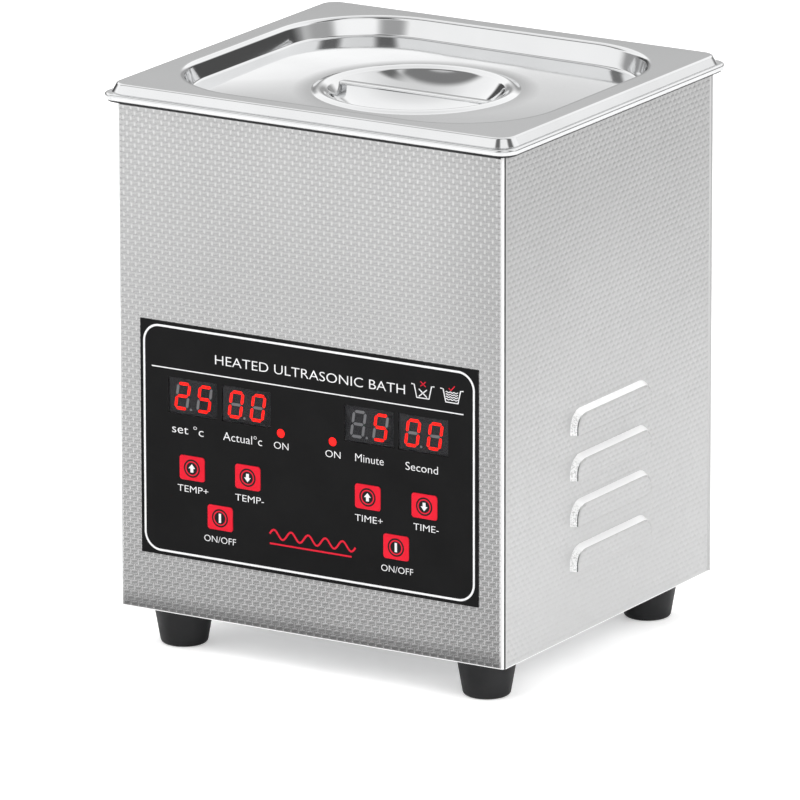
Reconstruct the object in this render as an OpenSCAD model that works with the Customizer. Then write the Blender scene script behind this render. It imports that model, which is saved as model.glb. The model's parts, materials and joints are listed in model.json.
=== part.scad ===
// Digital ultrasonic cleaner with a two-litre tank and a lift-off lid.
// Millimetres. +Z is up, +X is to the right of the control panel, -Y is the front.
// The origin is on the bench, under the middle of the housing.

/* [Housing] */
// Width of the sheet housing from side to side
body_width = 166; // [160:1:190]
// Depth of the sheet housing from front to back
body_depth = 152; // [146:1:176]
// Height of the sheet housing without its feet
body_height = 193.2; // [180:0.1:230]
// Height the rubber feet lift the housing off the bench
foot_height = 16; // [8:0.5:25]
// Radius of a foot where it meets the housing
foot_radius = 11.8; // [8:0.1:12]

/* [Louvres] */
// Number of louvres on each side
louvre_count = 4; // [1:1:5]
// Height from one louvre to the next
louvre_pitch = 17.3; // [12:0.1:22]
// Length of one louvre
louvre_length = 57.4; // [30:0.2:80]
// Height of one louvre
louvre_height = 9.3; // [6:0.1:12]
// How far a louvre stands out from the side
louvre_reach = 2.6; // [2:0.1:6]
// How far the top and the ends of a louvre lean in between the side and its face
louvre_lean = 1.5; // [0.5:0.1:2]

/* [Tank] */
// Inside length of the tank
tank_length = 153; // [140:0.5:154]
// Inside width of the tank
tank_width = 139; // [126:0.5:140]
// Inside depth of the tank
tank_depth = 100; // [60:1:100]
// Inside radius of the upright tank corners
tank_corner = 34; // [20:0.5:36]
// Outside length of the tank rim
rim_length = 175.4; // [172:0.1:182]
// Outside width of the tank rim
rim_width = 162.4; // [158:0.1:168]

/* [Lid] */
// Length of the lid along its lower edge
lid_length = 172.9; // [168:0.1:175]
// Width of the lid along its lower edge
lid_width = 158.1; // [154:0.1:162]
// Height of the lid above the tank rim
lid_height = 3.4; // [3:0.1:8]
// Length of the sunken middle of the lid
recess_length = 150; // [130:0.5:151]
// Width of the sunken middle of the lid
recess_width = 136; // [116:0.5:137]
// Depth of the sunken middle of the lid
recess_depth = 8; // [5:0.1:12]
// Radius of the finger bowl under the handle bar
bowl_radius = 33; // [25:0.5:36]
// Depth of the finger bowl
bowl_depth = 12; // [8:0.5:16]
// Width of the handle bar
handle_width = 4.6; // [3:0.1:10]

/* [Control panel] */
// Width of the black control panel
panel_width = 145.1; // [140:0.1:150]
// Height of the black control panel
panel_height = 89.6; // [84:0.1:96]
// Width of one display window
window_width = 21.2; // [18:0.1:22]
// Height of one display window
window_height = 13.7; // [12:0.1:15]
// Width of one key
key_width = 11; // [9:0.1:12]
// Height of one key
key_height = 9.4; // [8:0.1:10]
// Distance between the two upper keys of a group
key_spacing = 24.2; // [20:0.1:26]
// Distance a key moves when it is pressed
key_travel = 0.5; // [0.2:0.1:0.8]

/* [Back] */
// Outside size of the square cooling fan
fan_size = 50; // [40:1:50]
// Number of blades on the fan
fan_blades = 7; // [5:1:9]

/* [Hidden] */
$fn = 64;
steel = [0.80, 0.81, 0.82];
bright = [0.88, 0.89, 0.90];
black = [0.08, 0.08, 0.09];
red = [0.86, 0.10, 0.14];
board_green = [0.07, 0.33, 0.20];
brass = [0.80, 0.66, 0.30];
copper = [0.78, 0.42, 0.24];
grey = [0.45, 0.46, 0.48];
white = [0.93, 0.92, 0.88];

// Sheet housing
sheet = 1.0;
bend = 1.5;
half_width = body_width / 2;
half_depth = body_depth / 2;
body_bottom = foot_height;
body_top = body_bottom + body_height;
front_face = -half_depth;
back_face = half_depth;
flange = 5;
bottom_flange = 14;
// Base screws, far enough in to stay out of sight from the front and sides
base_screw_x = half_width - 9;
base_screw_y = half_depth - 10;
base_sheet = 1.2;
base_bottom = body_bottom + sheet;
base_top = base_bottom + base_sheet;
foot_x = half_width - 17.4;
foot_y = half_depth - 17;
foot_tip_radius = 9;

// Fasteners
m3 = 1.5;
m3_hole = 1.6;
m3_head = 2.8;
head_height = 2;
m4 = 2;
back_screw_x = half_width - 6.5;
back_screw_heights = [30, 112, 195];

// Louvres
louvre_first = 41.4;
louvre_round = 7;
louvre_end = louvre_length / 2 - louvre_round;
louvre_shoulder = louvre_height - louvre_round;

// Tank, measured up from its floor
tank_sheet = 0.8;
gasket_height = 2.2;
rim_top = body_top + gasket_height + tank_sheet;
rim_drop = 2.1;
rim_corner = 7;
mouth_round = 3;
floor_round = 10;
tank_floor = rim_top - tank_depth;
tank_under = tank_floor - tank_sheet;
opening_corner = tank_corner + 2;

// Lid
lid_sheet = 0.8;
lid_top = rim_top + lid_height;
lid_corner = 8;
lid_lean = 1.95;
recess_corner = 38;
recess_floor = lid_top - recess_depth;
recess_lean = 1.4;
bowl_sphere = (bowl_radius * bowl_radius + bowl_depth * bowl_depth) / (2 * bowl_depth);
bowl_centre = recess_floor - bowl_depth + bowl_sphere;
ring_middle = bowl_radius + 3;
ring_width = 5.4;
ring_rise = 0.8;
handle_thick = 1.3;
handle_below = 1.2;

// Control panel
panel_thick = 0.5;
panel_shift = -0.35;
panel_bottom = body_bottom + 22.2;
panel_face = front_face - panel_thick;
window_middle = body_bottom + 84.2;
window_pitch = 23.2;
group_x = [-38.5, 37.4];
upper_keys = body_bottom + 57.2;
lower_keys = body_bottom + 39.9;
key_corner = 1.2;
key_gap = 0.1;
key_proud = 0.2;
key_flange = 1;
led_x = [-12.1, 10.2];
led_height = body_bottom + 76.1;
led_radius = 1.7;

// Control board behind the panel
board_gap = 7;
board_thick = 1.6;
board_front = front_face + sheet + board_gap;
board_back = board_front + board_thick;
board_low = 44;
board_high = 109;
board_half = 67;
standoff_x = 64;
standoff_z = [48, 105];
switch_depth = 3.5;
switch_front = board_front - switch_depth;
plunger_radius = 1.7;
plunger_gap = 0.05;
plunger_out = 0.8;
plunger_in = 0.5;
key_back = switch_front - plunger_out;

// Seven-segment digits
digit_pitch = 9.5;
digit_half_width = 2.5;
digit_half_height = 4.8;
segment_wide = 1.1;
segment_deep = 0.3;
digit_slant = 8;

// Driver board on the base
driver_x = -14;
driver_y = -10;
driver_length = 112;
driver_width = 78;
driver_low = base_top + 8;
driver_top = driver_low + board_thick;

// Ultrasonic transducer, listed from the tank floor downwards
mass_radius = 19;
horn_radius = 27;
horn_height = 26;
piezo_height = 5;
electrode_height = 0.3;
tail_height = 22;
horn_low = tank_under - horn_height;
piezo_1_low = horn_low - piezo_height;
electrode_1_low = piezo_1_low - electrode_height;
piezo_2_low = electrode_1_low - piezo_height;
electrode_2_low = piezo_2_low - electrode_height;
tail_low = electrode_2_low - tail_height;
bolt_radius = 5;

// Parts on the back
fan_x = -42;
fan_z = 62;
fan_thick = 10;
fan_bore = fan_size / 2 - 1.2;
fan_hole = fan_size / 2 - 5;
hub_radius = 11;
shaft_radius = 1;
shaft_gap = 0.05;
inlet_x = 42;
inlet_z = 46;
inlet_screws_apart = 40;
// Middles of the live, neutral and earth pins
inlet_pin_places = [[-7, -1.5], [7, -1.5], [0, 2.5]];
inlet_flange = 2.6;
switch_x = 42;
switch_z = 82;
rocker_tilt = 8;
rocker_axis = back_face + 1;
pivot_radius = 1.2;
pivot_gap = 0.05;

// ---------- shared shapes ----------

// Points along an arc, listed from the first angle to the last
function arc(x, y, r, first, last, steps = 6) =
    [for (i = [0:steps]) [
        x + r * cos(first + (last - first) * i / steps),
        y + r * sin(first + (last - first) * i / steps)
    ]];

// Flat rounded rectangle centred on the origin
module rounded_outline(length, width, corner) {
    square([length - 2 * corner, width], center = true);
    square([length, width - 2 * corner], center = true);
    for (x = [-1, 1], y = [-1, 1])
        translate([x * (length / 2 - corner), y * (width / 2 - corner)])
            circle(r = corner);
}

// Rounded plate standing on a given height
module rounded_plate(length, width, corner, low, thick) {
    translate([0, 0, low])
        linear_extrude(thick)
            rounded_outline(length, width, corner);
}

// Carries a cross-section round a rounded rectangle.
// The section's x is counted outwards from the centre of the corner radius.
module run_around(length, width, corner) {
    x = length / 2 - corner;
    y = width / 2 - corner;
    for (turn = [0:3])
        translate([(turn == 0 || turn == 3) ? x : -x, (turn < 2) ? y : -y, 0])
            rotate([0, 0, 90 * turn])
                rotate_extrude(angle = 90)
                    children();
    for (side = [0, 1]) {
        mirror([side, 0, 0])
            translate([x, 0, 0])
                rotate([90, 0, 0])
                    linear_extrude(2 * y, center = true)
                        children();
        mirror([0, side, 0])
            translate([0, y, 0])
                rotate([90, 0, 90])
                    linear_extrude(2 * x, center = true)
                        children();
    }
}

// Screw whose head rests on the origin and whose shank runs along -Z
module pan_screw(radius, length, head = m3_head) {
    difference() {
        union() {
            cylinder(r = head, h = head_height);
            translate([0, 0, -length])
                cylinder(r = radius, h = length + 0.1);
        }
        for (turn = [0, 90])
            rotate([0, 0, turn])
                translate([-radius, -0.35, head_height - 1])
                    cube([2 * radius, 0.7, 2]);
    }
}

// Box given by its middle in X and Y and by its lower height
module box(x, y, low, size) {
    translate([x - size[0] / 2, y - size[1] / 2, low])
        cube(size);
}

// Box standing off the front panel: middle in X and Z, first and last Y
module front_box(x, z, size, first, last) {
    translate([x - size[0] / 2, first, z - size[1] / 2])
        cube([size[0], last - first, size[1]]);
}

// Rounded block standing off the front panel
module front_block(x, z, size, corner, first, last) {
    translate([x, last, z])
        rotate([90, 0, 0])
            linear_extrude(last - first)
                rounded_outline(size[0], size[1], corner);
}

// Cylinder along +Y between two values of Y
module along_y(x, z, radius, first, last) {
    translate([x, first, z])
        rotate([-90, 0, 0])
            cylinder(r = radius, h = last - first);
}

// Round wire through a list of points
module wire(points, radius) {
    for (i = [0:len(points) - 2]) {
        step = points[i + 1] - points[i];
        flat = norm([step[0], step[1]]);
        translate(points[i])
            rotate([0, atan2(flat, step[2]), atan2(step[1], step[0])])
                cylinder(r = radius, h = norm(step));
        if (i > 0)
            translate(points[i])
                sphere(r = radius * 1.08);
    }
}

// Places children at the four feet
module at_feet() {
    for (x = [-foot_x, foot_x], y = [-foot_y, foot_y])
        translate([x, y, 0])
            children();
}

// ---------- housing ----------

// Radius of a louvre's upper corners at a distance out from the side, to the nearest thousandth
// so that the cones and the blocks beside them meet exactly
function louvre_corner(out, inset) =
    round(1000 * (louvre_round - inset - louvre_lean * out / louvre_reach)) / 1000;

// One louvre hood on the right side, either its outside or its hollow: a block with a leaning
// top, a lower block with leaning ends, and a quarter cone in each upper corner
module louvre_hood(hollow) {
    inset = hollow ? sheet : 0;
    root = hollow ? -2 : -sheet;
    reach = hollow ? louvre_reach - sheet : louvre_reach;
    foot = hollow ? -0.01 : 0;
    near = louvre_corner(root, inset);
    far = louvre_corner(reach, inset);
    translate([half_width, 0, 0]) {
        translate([0, louvre_end, 0])
            rotate([90, 0, 0])
                linear_extrude(2 * louvre_end)
                    polygon([
                        [root, foot],
                        [reach, foot],
                        [reach, louvre_shoulder + far],
                        [root, louvre_shoulder + near]]);
        translate([0, 0, foot])
            linear_extrude(louvre_shoulder - foot)
                polygon([
                    [root, -louvre_end - near],
                    [reach, -louvre_end - far],
                    [reach, louvre_end + far],
                    [root, louvre_end + near]]);
        for (side = [0, 1])
            mirror([0, side, 0])
                translate([0, louvre_end, louvre_shoulder])
                    rotate([90, 0, 90])
                        rotate_extrude(angle = 90)
                            polygon([[0, root], [near, root], [far, reach], [0, reach]]);
    }
}

// All the louvres of the right side
module louvre_bank(hollow) {
    for (i = [0:louvre_count - 1])
        translate([0, 0, louvre_first + i * louvre_pitch])
            louvre_hood(hollow);
}

// Frame cut from a flat sheet that follows the housing outline
module housing_frame(low, opening_length, opening_width, corner) {
    difference() {
        rounded_plate(body_width, body_depth, bend, low, sheet);
        rounded_plate(opening_length, opening_width, corner, low - 1, sheet + 2);
    }
}

// Openings in the front sheet behind the control panel
module front_openings() {
    for (group = group_x, side = [-0.5, 0.5])
        front_box(
            group + side * window_pitch, window_middle,
            [window_width + 0.4, window_height + 0.4], front_face - 1, front_face + 2);
    for (group = group_x) {
        for (side = [-0.5, 0.5])
            front_box(
                group + side * key_spacing, upper_keys,
                [key_width + 0.4, key_height + 0.4], front_face - 1, front_face + 2);
        front_box(
            group, lower_keys,
            [key_width + 0.4, key_height + 0.4], front_face - 1, front_face + 2);
    }
    for (x = led_x)
        along_y(x, led_height, led_radius + 0.1, front_face - 1, front_face + 2);
}

module housing_shell() {
    color(steel)
        difference() {
            union() {
                difference() {
                    rounded_plate(body_width, body_depth, bend, body_bottom, body_height);
                    rounded_plate(
                        body_width - 2 * sheet, body_depth - 2 * sheet, bend - sheet,
                        body_bottom - 1, body_height + 2);
                }
                housing_frame(
                    body_top - sheet, body_width - 2 * flange, body_depth - 2 * flange,
                    opening_corner);
                housing_frame(
                    body_bottom, body_width - 2 * bottom_flange,
                    body_depth - 2 * bottom_flange, 3);
                for (side = [0, 1])
                    mirror([side, 0, 0]) {
                        translate([half_width - 12, back_face - 2 * sheet, body_bottom])
                            cube([12 - sheet / 2, sheet, body_height]);
                        louvre_bank(false);
                    }
            }
            translate([-body_width, back_face - sheet, 0])
                cube([2 * body_width, 10, body_top + 10]);
            for (side = [0, 1])
                mirror([side, 0, 0]) {
                    louvre_bank(true);
                    for (z = back_screw_heights)
                        along_y(back_screw_x, z, m3, back_face - 5, back_face + 5);
                }
            front_openings();
            at_feet()
                cylinder(r = foot_radius + 0.4, h = body_bottom + 1.5);
            for (x = [-1, 1])
                translate([x * base_screw_x, 0, body_bottom - 1])
                    cylinder(r = m3_hole, h = 3);
            for (y = [-1, 1])
                translate([0, y * base_screw_y, body_bottom - 1])
                    cylinder(r = m3_hole, h = 3);
        }
}

module rear_cover() {
    color(steel)
        difference() {
            translate([-half_width, back_face - sheet, body_bottom])
                cube([body_width, sheet, body_height]);
            for (side = [-1, 1], z = back_screw_heights)
                along_y(side * back_screw_x, z, m3_hole, back_face - 3, back_face + 3);
            for (ring = [9, 15, 21])
                difference() {
                    along_y(fan_x, fan_z, ring + 1.6, back_face - 3, back_face + 3);
                    along_y(fan_x, fan_z, ring - 1.6, back_face - 4, back_face + 4);
                    for (turn = [0, 90])
                        translate([fan_x, back_face, fan_z])
                            rotate([0, 45 + turn, 0])
                                cube([2.4, 12, 60], center = true);
                }
            for (x = [-1, 1], z = [-1, 1])
                along_y(fan_x + x * fan_hole, fan_z + z * fan_hole, m3_hole,
                    back_face - 3, back_face + 3);
            front_box(inlet_x, inlet_z, [27.6, 20], back_face - 3, back_face + 3);
            for (side = [-0.5, 0.5])
                along_y(inlet_x + side * inlet_screws_apart, inlet_z, m3,
                    back_face - 3, back_face + 3);
            front_box(switch_x, switch_z, [13, 19.2], back_face - 3, back_face + 3);
        }
}

module base_plate() {
    color(steel)
        difference() {
            box(0, -0.5, base_bottom, [body_width - 2.4, body_depth - 3.4, base_sheet]);
            at_feet()
                translate([0, 0, base_bottom - 1])
                    cylinder(r = m4, h = 4);
            for (x = [-1, 1])
                translate([x * base_screw_x, 0, base_bottom - 1])
                    cylinder(r = m3, h = 4);
            for (y = [-1, 1])
                translate([0, y * base_screw_y, base_bottom - 1])
                    cylinder(r = m3, h = 4);
            at_driver_corners()
                translate([0, 0, base_bottom - 1])
                    cylinder(r = m3_hole, h = 4);
            for (i = [-4:3])
                box(21 + 7 * i, 48, base_bottom - 1, [3, 24, 4]);
        }
}

module feet() {
    color(black)
        at_feet()
            difference() {
                rotate_extrude()
                    polygon(concat(
                        [[0, 0]],
                        arc(foot_tip_radius - 1, 1, 1, -90, -10),
                        [[foot_radius, base_bottom], [0, base_bottom]]));
                translate([0, 0, -1])
                    cylinder(r = 5, h = 7);
                cylinder(r = m4, h = base_bottom + 1);
            }
}

module foot_screws() {
    color(bright)
        at_feet()
            translate([0, 0, 6])
                mirror([0, 0, 1])
                    pan_screw(m4, base_top + 3 - 6, 3.8);
}

module base_screws() {
    color(bright) {
        for (x = [-1, 1])
            translate([x * base_screw_x, 0, body_bottom])
                mirror([0, 0, 1])
                    pan_screw(m3, 5);
        for (y = [-1, 1])
            translate([0, y * base_screw_y, body_bottom])
                mirror([0, 0, 1])
                    pan_screw(m3, 5);
    }
}

module rear_cover_screws() {
    color(bright)
        for (side = [-1, 1], z = back_screw_heights)
            translate([side * back_screw_x, back_face, z])
                rotate([-90, 0, 0])
                    pan_screw(m3, 5);
}

// ---------- tank ----------

module tank() {
    mouth = tank_corner + mouth_round;
    knee = rim_top - mouth_round;
    heel = tank_floor + floor_round;
    centre = tank_corner - floor_round;
    color(bright) {
        run_around(tank_length, tank_width, tank_corner)
            polygon(concat(
                arc(mouth, knee, mouth_round, 90, 180),
                arc(centre, heel, floor_round, 0, -90),
                [[centre - 4, tank_floor], [centre - 4, tank_under]],
                arc(centre, heel, floor_round + tank_sheet, -90, 0),
                arc(mouth, knee, mouth_round - tank_sheet, 180, 90)));
        rounded_plate(
            tank_length - 2 * floor_round - 8, tank_width - 2 * floor_round - 8,
            centre - 4, tank_under, tank_sheet);
        difference() {
            rounded_plate(
                rim_length - 2, rim_width - 2, rim_corner - 1,
                rim_top - tank_sheet, tank_sheet);
            rounded_plate(
                tank_length + 2 * mouth_round, tank_width + 2 * mouth_round, mouth,
                rim_top - 2, 4);
        }
        run_around(rim_length, rim_width, rim_corner)
            polygon(concat(
                [[rim_corner - 1, rim_top - tank_sheet]],
                [[rim_corner - tank_sheet, rim_top - 1], [rim_corner - tank_sheet, rim_top - rim_drop]],
                [[rim_corner, rim_top - rim_drop]],
                arc(rim_corner - 0.9, rim_top - 0.9, 0.9, 0, 90),
                [[rim_corner - 1, rim_top]]));
    }
}

module rim_gasket() {
    color(black)
        difference() {
            rounded_plate(
                rim_length - 2.2, rim_width - 2.2, rim_corner - 1.1,
                body_top, gasket_height);
            rounded_plate(
                tank_length + 7, tank_width + 7, tank_corner + 4,
                body_top - 1, gasket_height + 2);
        }
}

// ---------- lid ----------

// Raised ring pressed round the finger bowl
module bowl_ring() {
    curve = (ring_width * ring_width / 4 + ring_rise * ring_rise) / (2 * ring_rise);
    rotate_extrude()
        intersection() {
            translate([ring_middle, recess_floor + ring_rise - curve])
                circle(r = curve);
            translate([ring_middle - ring_width / 2, recess_floor - lid_sheet])
                square([ring_width, 3]);
        }
}

module lid() {
    skirt = lid_corner - lid_lean;
    brim = recess_corner + 1.2;
    foot_of_wall = recess_corner - recess_lean;
    color(bright)
        difference() {
            union() {
                run_around(lid_length, lid_width, lid_corner)
                    polygon(concat(
                        [[lid_corner - lid_sheet, rim_top], [lid_corner, rim_top]],
                        arc(skirt - 0.6, lid_top - 1, 1, 20, 90),
                        [[skirt - 1.2, lid_top], [skirt - 1.2, lid_top - lid_sheet]],
                        [[skirt - 0.6, lid_top - lid_sheet]]));
                difference() {
                    rounded_plate(
                        lid_length - 2 * lid_lean - 2.4, lid_width - 2 * lid_lean - 2.4,
                        skirt - 1.2, lid_top - lid_sheet, lid_sheet);
                    rounded_plate(
                        recess_length + 2.4, recess_width + 2.4, brim,
                        lid_top - 3, 6);
                }
                run_around(recess_length, recess_width, recess_corner)
                    polygon(concat(
                        arc(brim, lid_top - 1.2, 1.2, 90, 165),
                        arc(foot_of_wall - 2, recess_floor + 2, 2, -15, -90),
                        [[foot_of_wall - 6, recess_floor]],
                        [[foot_of_wall - 6, recess_floor - lid_sheet]],
                        arc(foot_of_wall - 2, recess_floor + 2, 2 + lid_sheet, -90, -15),
                        arc(brim, lid_top - 1.2, 1.2 - lid_sheet, 165, 90)));
                rounded_plate(
                    recess_length - 2 * recess_lean - 12, recess_width - 2 * recess_lean - 12,
                    foot_of_wall - 6, recess_floor - lid_sheet, lid_sheet);
                bowl_ring();
                intersection() {
                    translate([0, 0, bowl_centre])
                        sphere(r = bowl_sphere + lid_sheet);
                    translate([0, 0, recess_floor - bowl_depth - 5])
                        cylinder(r = bowl_radius + 8, h = bowl_depth + 5 - lid_sheet / 2);
                }
            }
            translate([0, 0, bowl_centre])
                sphere(r = bowl_sphere);
        }
}

module lid_handle_bar() {
    color(bright)
        intersection() {
            translate([-bowl_radius, 0, recess_floor - handle_below])
                rotate([90, 0, 90])
                    linear_extrude(2 * bowl_radius)
                        rounded_outline(handle_width, handle_thick, handle_thick / 2 - 0.05);
            translate([0, 0, bowl_centre])
                sphere(r = bowl_sphere);
        }
}

// ---------- control panel ----------

module panel_overlay() {
    color(black)
        difference() {
            front_box(panel_shift, panel_bottom + panel_height / 2,
                [panel_width, panel_height], panel_face, front_face);
            for (group = group_x, side = [-0.5, 0.5])
                front_box(group + side * window_pitch, window_middle,
                    [window_width, window_height], panel_face - 1, front_face + 1);
            for (group = group_x) {
                for (side = [-0.5, 0.5])
                    front_block(group + side * key_spacing, upper_keys,
                        [key_width + 2 * key_gap, key_height + 2 * key_gap],
                        key_corner + key_gap, panel_face - 1, front_face + 1);
                front_block(group, lower_keys,
                    [key_width + 2 * key_gap, key_height + 2 * key_gap],
                    key_corner + key_gap, panel_face - 1, front_face + 1);
            }
            for (x = led_x)
                along_y(x, led_height, led_radius, panel_face - 1, front_face + 1);
        }
}

module display_windows() {
    color([0.22, 0.22, 0.23])
        for (group = group_x, side = [-0.5, 0.5])
            front_box(group + side * window_pitch, window_middle,
                [window_width, window_height], panel_face, front_face);
}

// Seven bars of one digit, in the plane of the display, with or without its point
module digit_outline(point) {
    long = 2 * digit_half_width - 1.5;
    tall = digit_half_height - 1.5;
    multmatrix([[1, tan(digit_slant), 0, 0], [0, 1, 0, 0], [0, 0, 1, 0]]) {
        for (y = [-1, 0, 1])
            translate([0, y * digit_half_height])
                square([long, segment_wide], center = true);
        for (x = [-1, 1], y = [-1, 1])
            translate([x * digit_half_width, y * digit_half_height / 2])
                square([segment_wide, tall], center = true);
    }
    if (point)
        translate([digit_half_width + 1.3, -digit_half_height])
            circle(r = 0.6);
}

// All eight digits as bars of a given depth behind the windows
module digits(depth) {
    for (group = group_x, side = [-0.5, 0.5], place = [-0.5, 0.5])
        translate([
            group + side * window_pitch + place * digit_pitch,
            front_face + depth, window_middle])
            rotate([90, 0, 0])
                linear_extrude(depth)
                    digit_outline(place < 0);
}

module display_modules() {
    color(black)
        difference() {
            for (group = group_x, side = [-0.5, 0.5])
                front_box(group + side * window_pitch, window_middle,
                    [window_width - 0.2, window_height - 0.2], front_face, board_front);
            digits(segment_deep);
        }
}

module display_segments() {
    color(red)
        digits(segment_deep);
}

module indicator_leds() {
    color(red)
        for (x = led_x) {
            along_y(x, led_height, led_radius, panel_face, board_front - 1);
            along_y(x, led_height, led_radius + 0.5, board_front - 1, board_front);
        }
}

module control_board() {
    color(board_green)
        difference() {
            translate([-board_half, board_front, board_low])
                cube([2 * board_half, board_thick, board_high - board_low]);
            for (x = [-1, 1], z = standoff_z)
                along_y(x * standoff_x, z, m3_hole, board_front - 1, board_back + 1);
        }
}

module control_standoffs() {
    color(brass)
        for (x = [-1, 1], z = standoff_z)
            difference() {
                along_y(x * standoff_x, z, 2.5, front_face + sheet, board_front);
                along_y(x * standoff_x, z, m3, front_face + sheet + 1, board_front + 1);
            }
}

module control_screws() {
    color(bright)
        for (x = [-1, 1], z = standoff_z)
            translate([x * standoff_x, board_back, z])
                rotate([-90, 0, 0])
                    pan_screw(m3, 6);
}

// ---------- keys ----------

// Key cap with its hidden flange and stem
module key(x, z) {
    inner = front_face + sheet;
    color(red) {
        front_block(x, z, [key_width, key_height], key_corner, panel_face - key_proud, inner);
        front_block(x, z, [key_width + 2, key_height + 2], key_corner, inner, inner + key_flange);
        along_y(x, z, 1.5, inner + key_flange - 0.1, key_back);
    }
}

// Moving button of the key switch behind a key
module plunger(x, z) {
    color(grey)
        along_y(x, z, plunger_radius, key_back, switch_front + plunger_in);
}

// Fixed body of the key switch behind a key
module key_switch(x, z) {
    difference() {
        front_box(x, z, [6, 6], switch_front, board_front);
        along_y(x, z, plunger_radius + plunger_gap, switch_front - 1,
            switch_front + plunger_in + key_travel + 0.4);
    }
}

module key_switches() {
    color(black)
        for (group = group_x) {
            for (side = [-0.5, 0.5])
                key_switch(group + side * key_spacing, upper_keys);
            key_switch(group, lower_keys);
        }
}

module key_temp_up() {
    key(group_x[0] - key_spacing / 2, upper_keys);
}

module key_temp_down() {
    key(group_x[0] + key_spacing / 2, upper_keys);
}

module key_heat_on_off() {
    key(group_x[0], lower_keys);
}

module key_time_up() {
    key(group_x[1] - key_spacing / 2, upper_keys);
}

module key_time_down() {
    key(group_x[1] + key_spacing / 2, upper_keys);
}

module key_timer_on_off() {
    key(group_x[1], lower_keys);
}

module plunger_temp_up() {
    plunger(group_x[0] - key_spacing / 2, upper_keys);
}

module plunger_temp_down() {
    plunger(group_x[0] + key_spacing / 2, upper_keys);
}

module plunger_heat_on_off() {
    plunger(group_x[0], lower_keys);
}

module plunger_time_up() {
    plunger(group_x[1] - key_spacing / 2, upper_keys);
}

module plunger_time_down() {
    plunger(group_x[1] + key_spacing / 2, upper_keys);
}

module plunger_timer_on_off() {
    plunger(group_x[1], lower_keys);
}

// ---------- driver electronics ----------

// Places children at the corner holes of the driver board
module at_driver_corners() {
    for (x = [-1, 1], y = [-1, 1])
        translate([
            driver_x + x * (driver_length / 2 - 5),
            driver_y + y * (driver_width / 2 - 5), 0])
            children();
}

module driver_board() {
    color(board_green)
        difference() {
            box(driver_x, driver_y, driver_low, [driver_length, driver_width, board_thick]);
            at_driver_corners()
                translate([0, 0, driver_low - 1])
                    cylinder(r = m3_hole, h = 4);
        }
}

module driver_standoffs() {
    color(brass)
        at_driver_corners()
            translate([0, 0, base_top])
                difference() {
                    cylinder(r = 3, h = 8);
                    translate([0, 0, -1])
                        cylinder(r = m3, h = 10);
                }
}

module driver_screws() {
    color(bright)
        at_driver_corners() {
            translate([0, 0, driver_top])
                pan_screw(m3, 5);
            translate([0, 0, base_bottom])
                mirror([0, 0, 1])
                    pan_screw(m3, 4.5);
        }
}

module transformer_core() {
    color(grey)
        difference() {
            box(driver_x + 32, driver_y - 22, driver_top, [30, 12, 26]);
            for (x = [-7.5, 7.5])
                box(driver_x + 32 + x, driver_y - 22, driver_top + 5, [7, 20, 16]);
        }
}

module transformer_winding() {
    color(copper)
        difference() {
            box(driver_x + 32, driver_y - 22, driver_top + 5.2, [21.6, 20, 15.6]);
            box(driver_x + 32, driver_y - 22, driver_top + 5, [8.2, 12.4, 20]);
        }
}

module driver_heatsink() {
    x = driver_x - 40;
    color(grey) {
        box(x, driver_y + 4, driver_top, [3, 50, 30]);
        for (i = [0:6])
            box(x - 4.9, driver_y - 18 + i * 7.3, driver_top, [7, 1.6, 30]);
    }
}

module power_transistors() {
    x = driver_x - 38.5;
    color(black)
        for (y = [-10, 16])
            translate([x, driver_y + y - 8, driver_top + 6]) {
                cube([5, 16, 20]);
                for (leg = [3, 8, 13])
                    translate([2, leg - 0.6, -6])
                        cube([0.6, 1.2, 6.1]);
            }
}

module filter_capacitors() {
    color([0.12, 0.16, 0.30])
        for (x = [-22, -3])
            translate([driver_x + x, driver_y + 30, driver_top])
                cylinder(r = 8, h = 22);
}

// ---------- transducer, heater and sensors ----------

module transducer_horn() {
    color([0.75, 0.76, 0.78])
        difference() {
            union() {
                translate([0, 0, horn_low])
                    cylinder(r = mass_radius, h = 6);
                translate([0, 0, horn_low + 6])
                    cylinder(r1 = mass_radius, r2 = horn_radius, h = horn_height - 10);
                translate([0, 0, tank_under - 4])
                    cylinder(r = horn_radius, h = 4);
            }
            translate([0, 0, horn_low - 1])
                cylinder(r = bolt_radius, h = 16);
        }
}

module piezo_rings() {
    color(white)
        for (low = [piezo_1_low, piezo_2_low])
            difference() {
                translate([0, 0, low])
                    cylinder(r = mass_radius, h = piezo_height);
                translate([0, 0, low - 1])
                    cylinder(r = 7.5, h = piezo_height + 2);
            }
}

module transducer_electrodes() {
    color(copper)
        for (low = [electrode_1_low, electrode_2_low])
            difference() {
                union() {
                    translate([0, 0, low])
                        cylinder(r = mass_radius, h = electrode_height);
                    translate([-24, -2.5, low])
                        cube([24, 5, electrode_height]);
                }
                translate([0, 0, low - 1])
                    cylinder(r = 7.5, h = 3);
            }
}

module transducer_tail_mass() {
    color(grey)
        difference() {
            translate([0, 0, tail_low])
                cylinder(r = mass_radius, h = tail_height);
            translate([0, 0, tail_low - 1])
                cylinder(r = bolt_radius + 0.2, h = tail_height + 2);
        }
}

module transducer_bolt() {
    color(bright)
        difference() {
            union() {
                translate([0, 0, tail_low - 8])
                    cylinder(r = 8, h = 8);
                translate([0, 0, tail_low - 1])
                    cylinder(r = bolt_radius, h = horn_low + 13 - tail_low);
            }
            translate([0, 0, tail_low - 9])
                cylinder(r = 4, h = 6);
        }
}

module heater_pads() {
    x = tank_length / 2 + tank_sheet;
    color([0.70, 0.30, 0.16])
        for (side = [0, 1])
            mirror([side, 0, 0])
                translate([x, -34, tank_floor + 13])
                    cube([1.5, 68, 66]);
}

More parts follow.
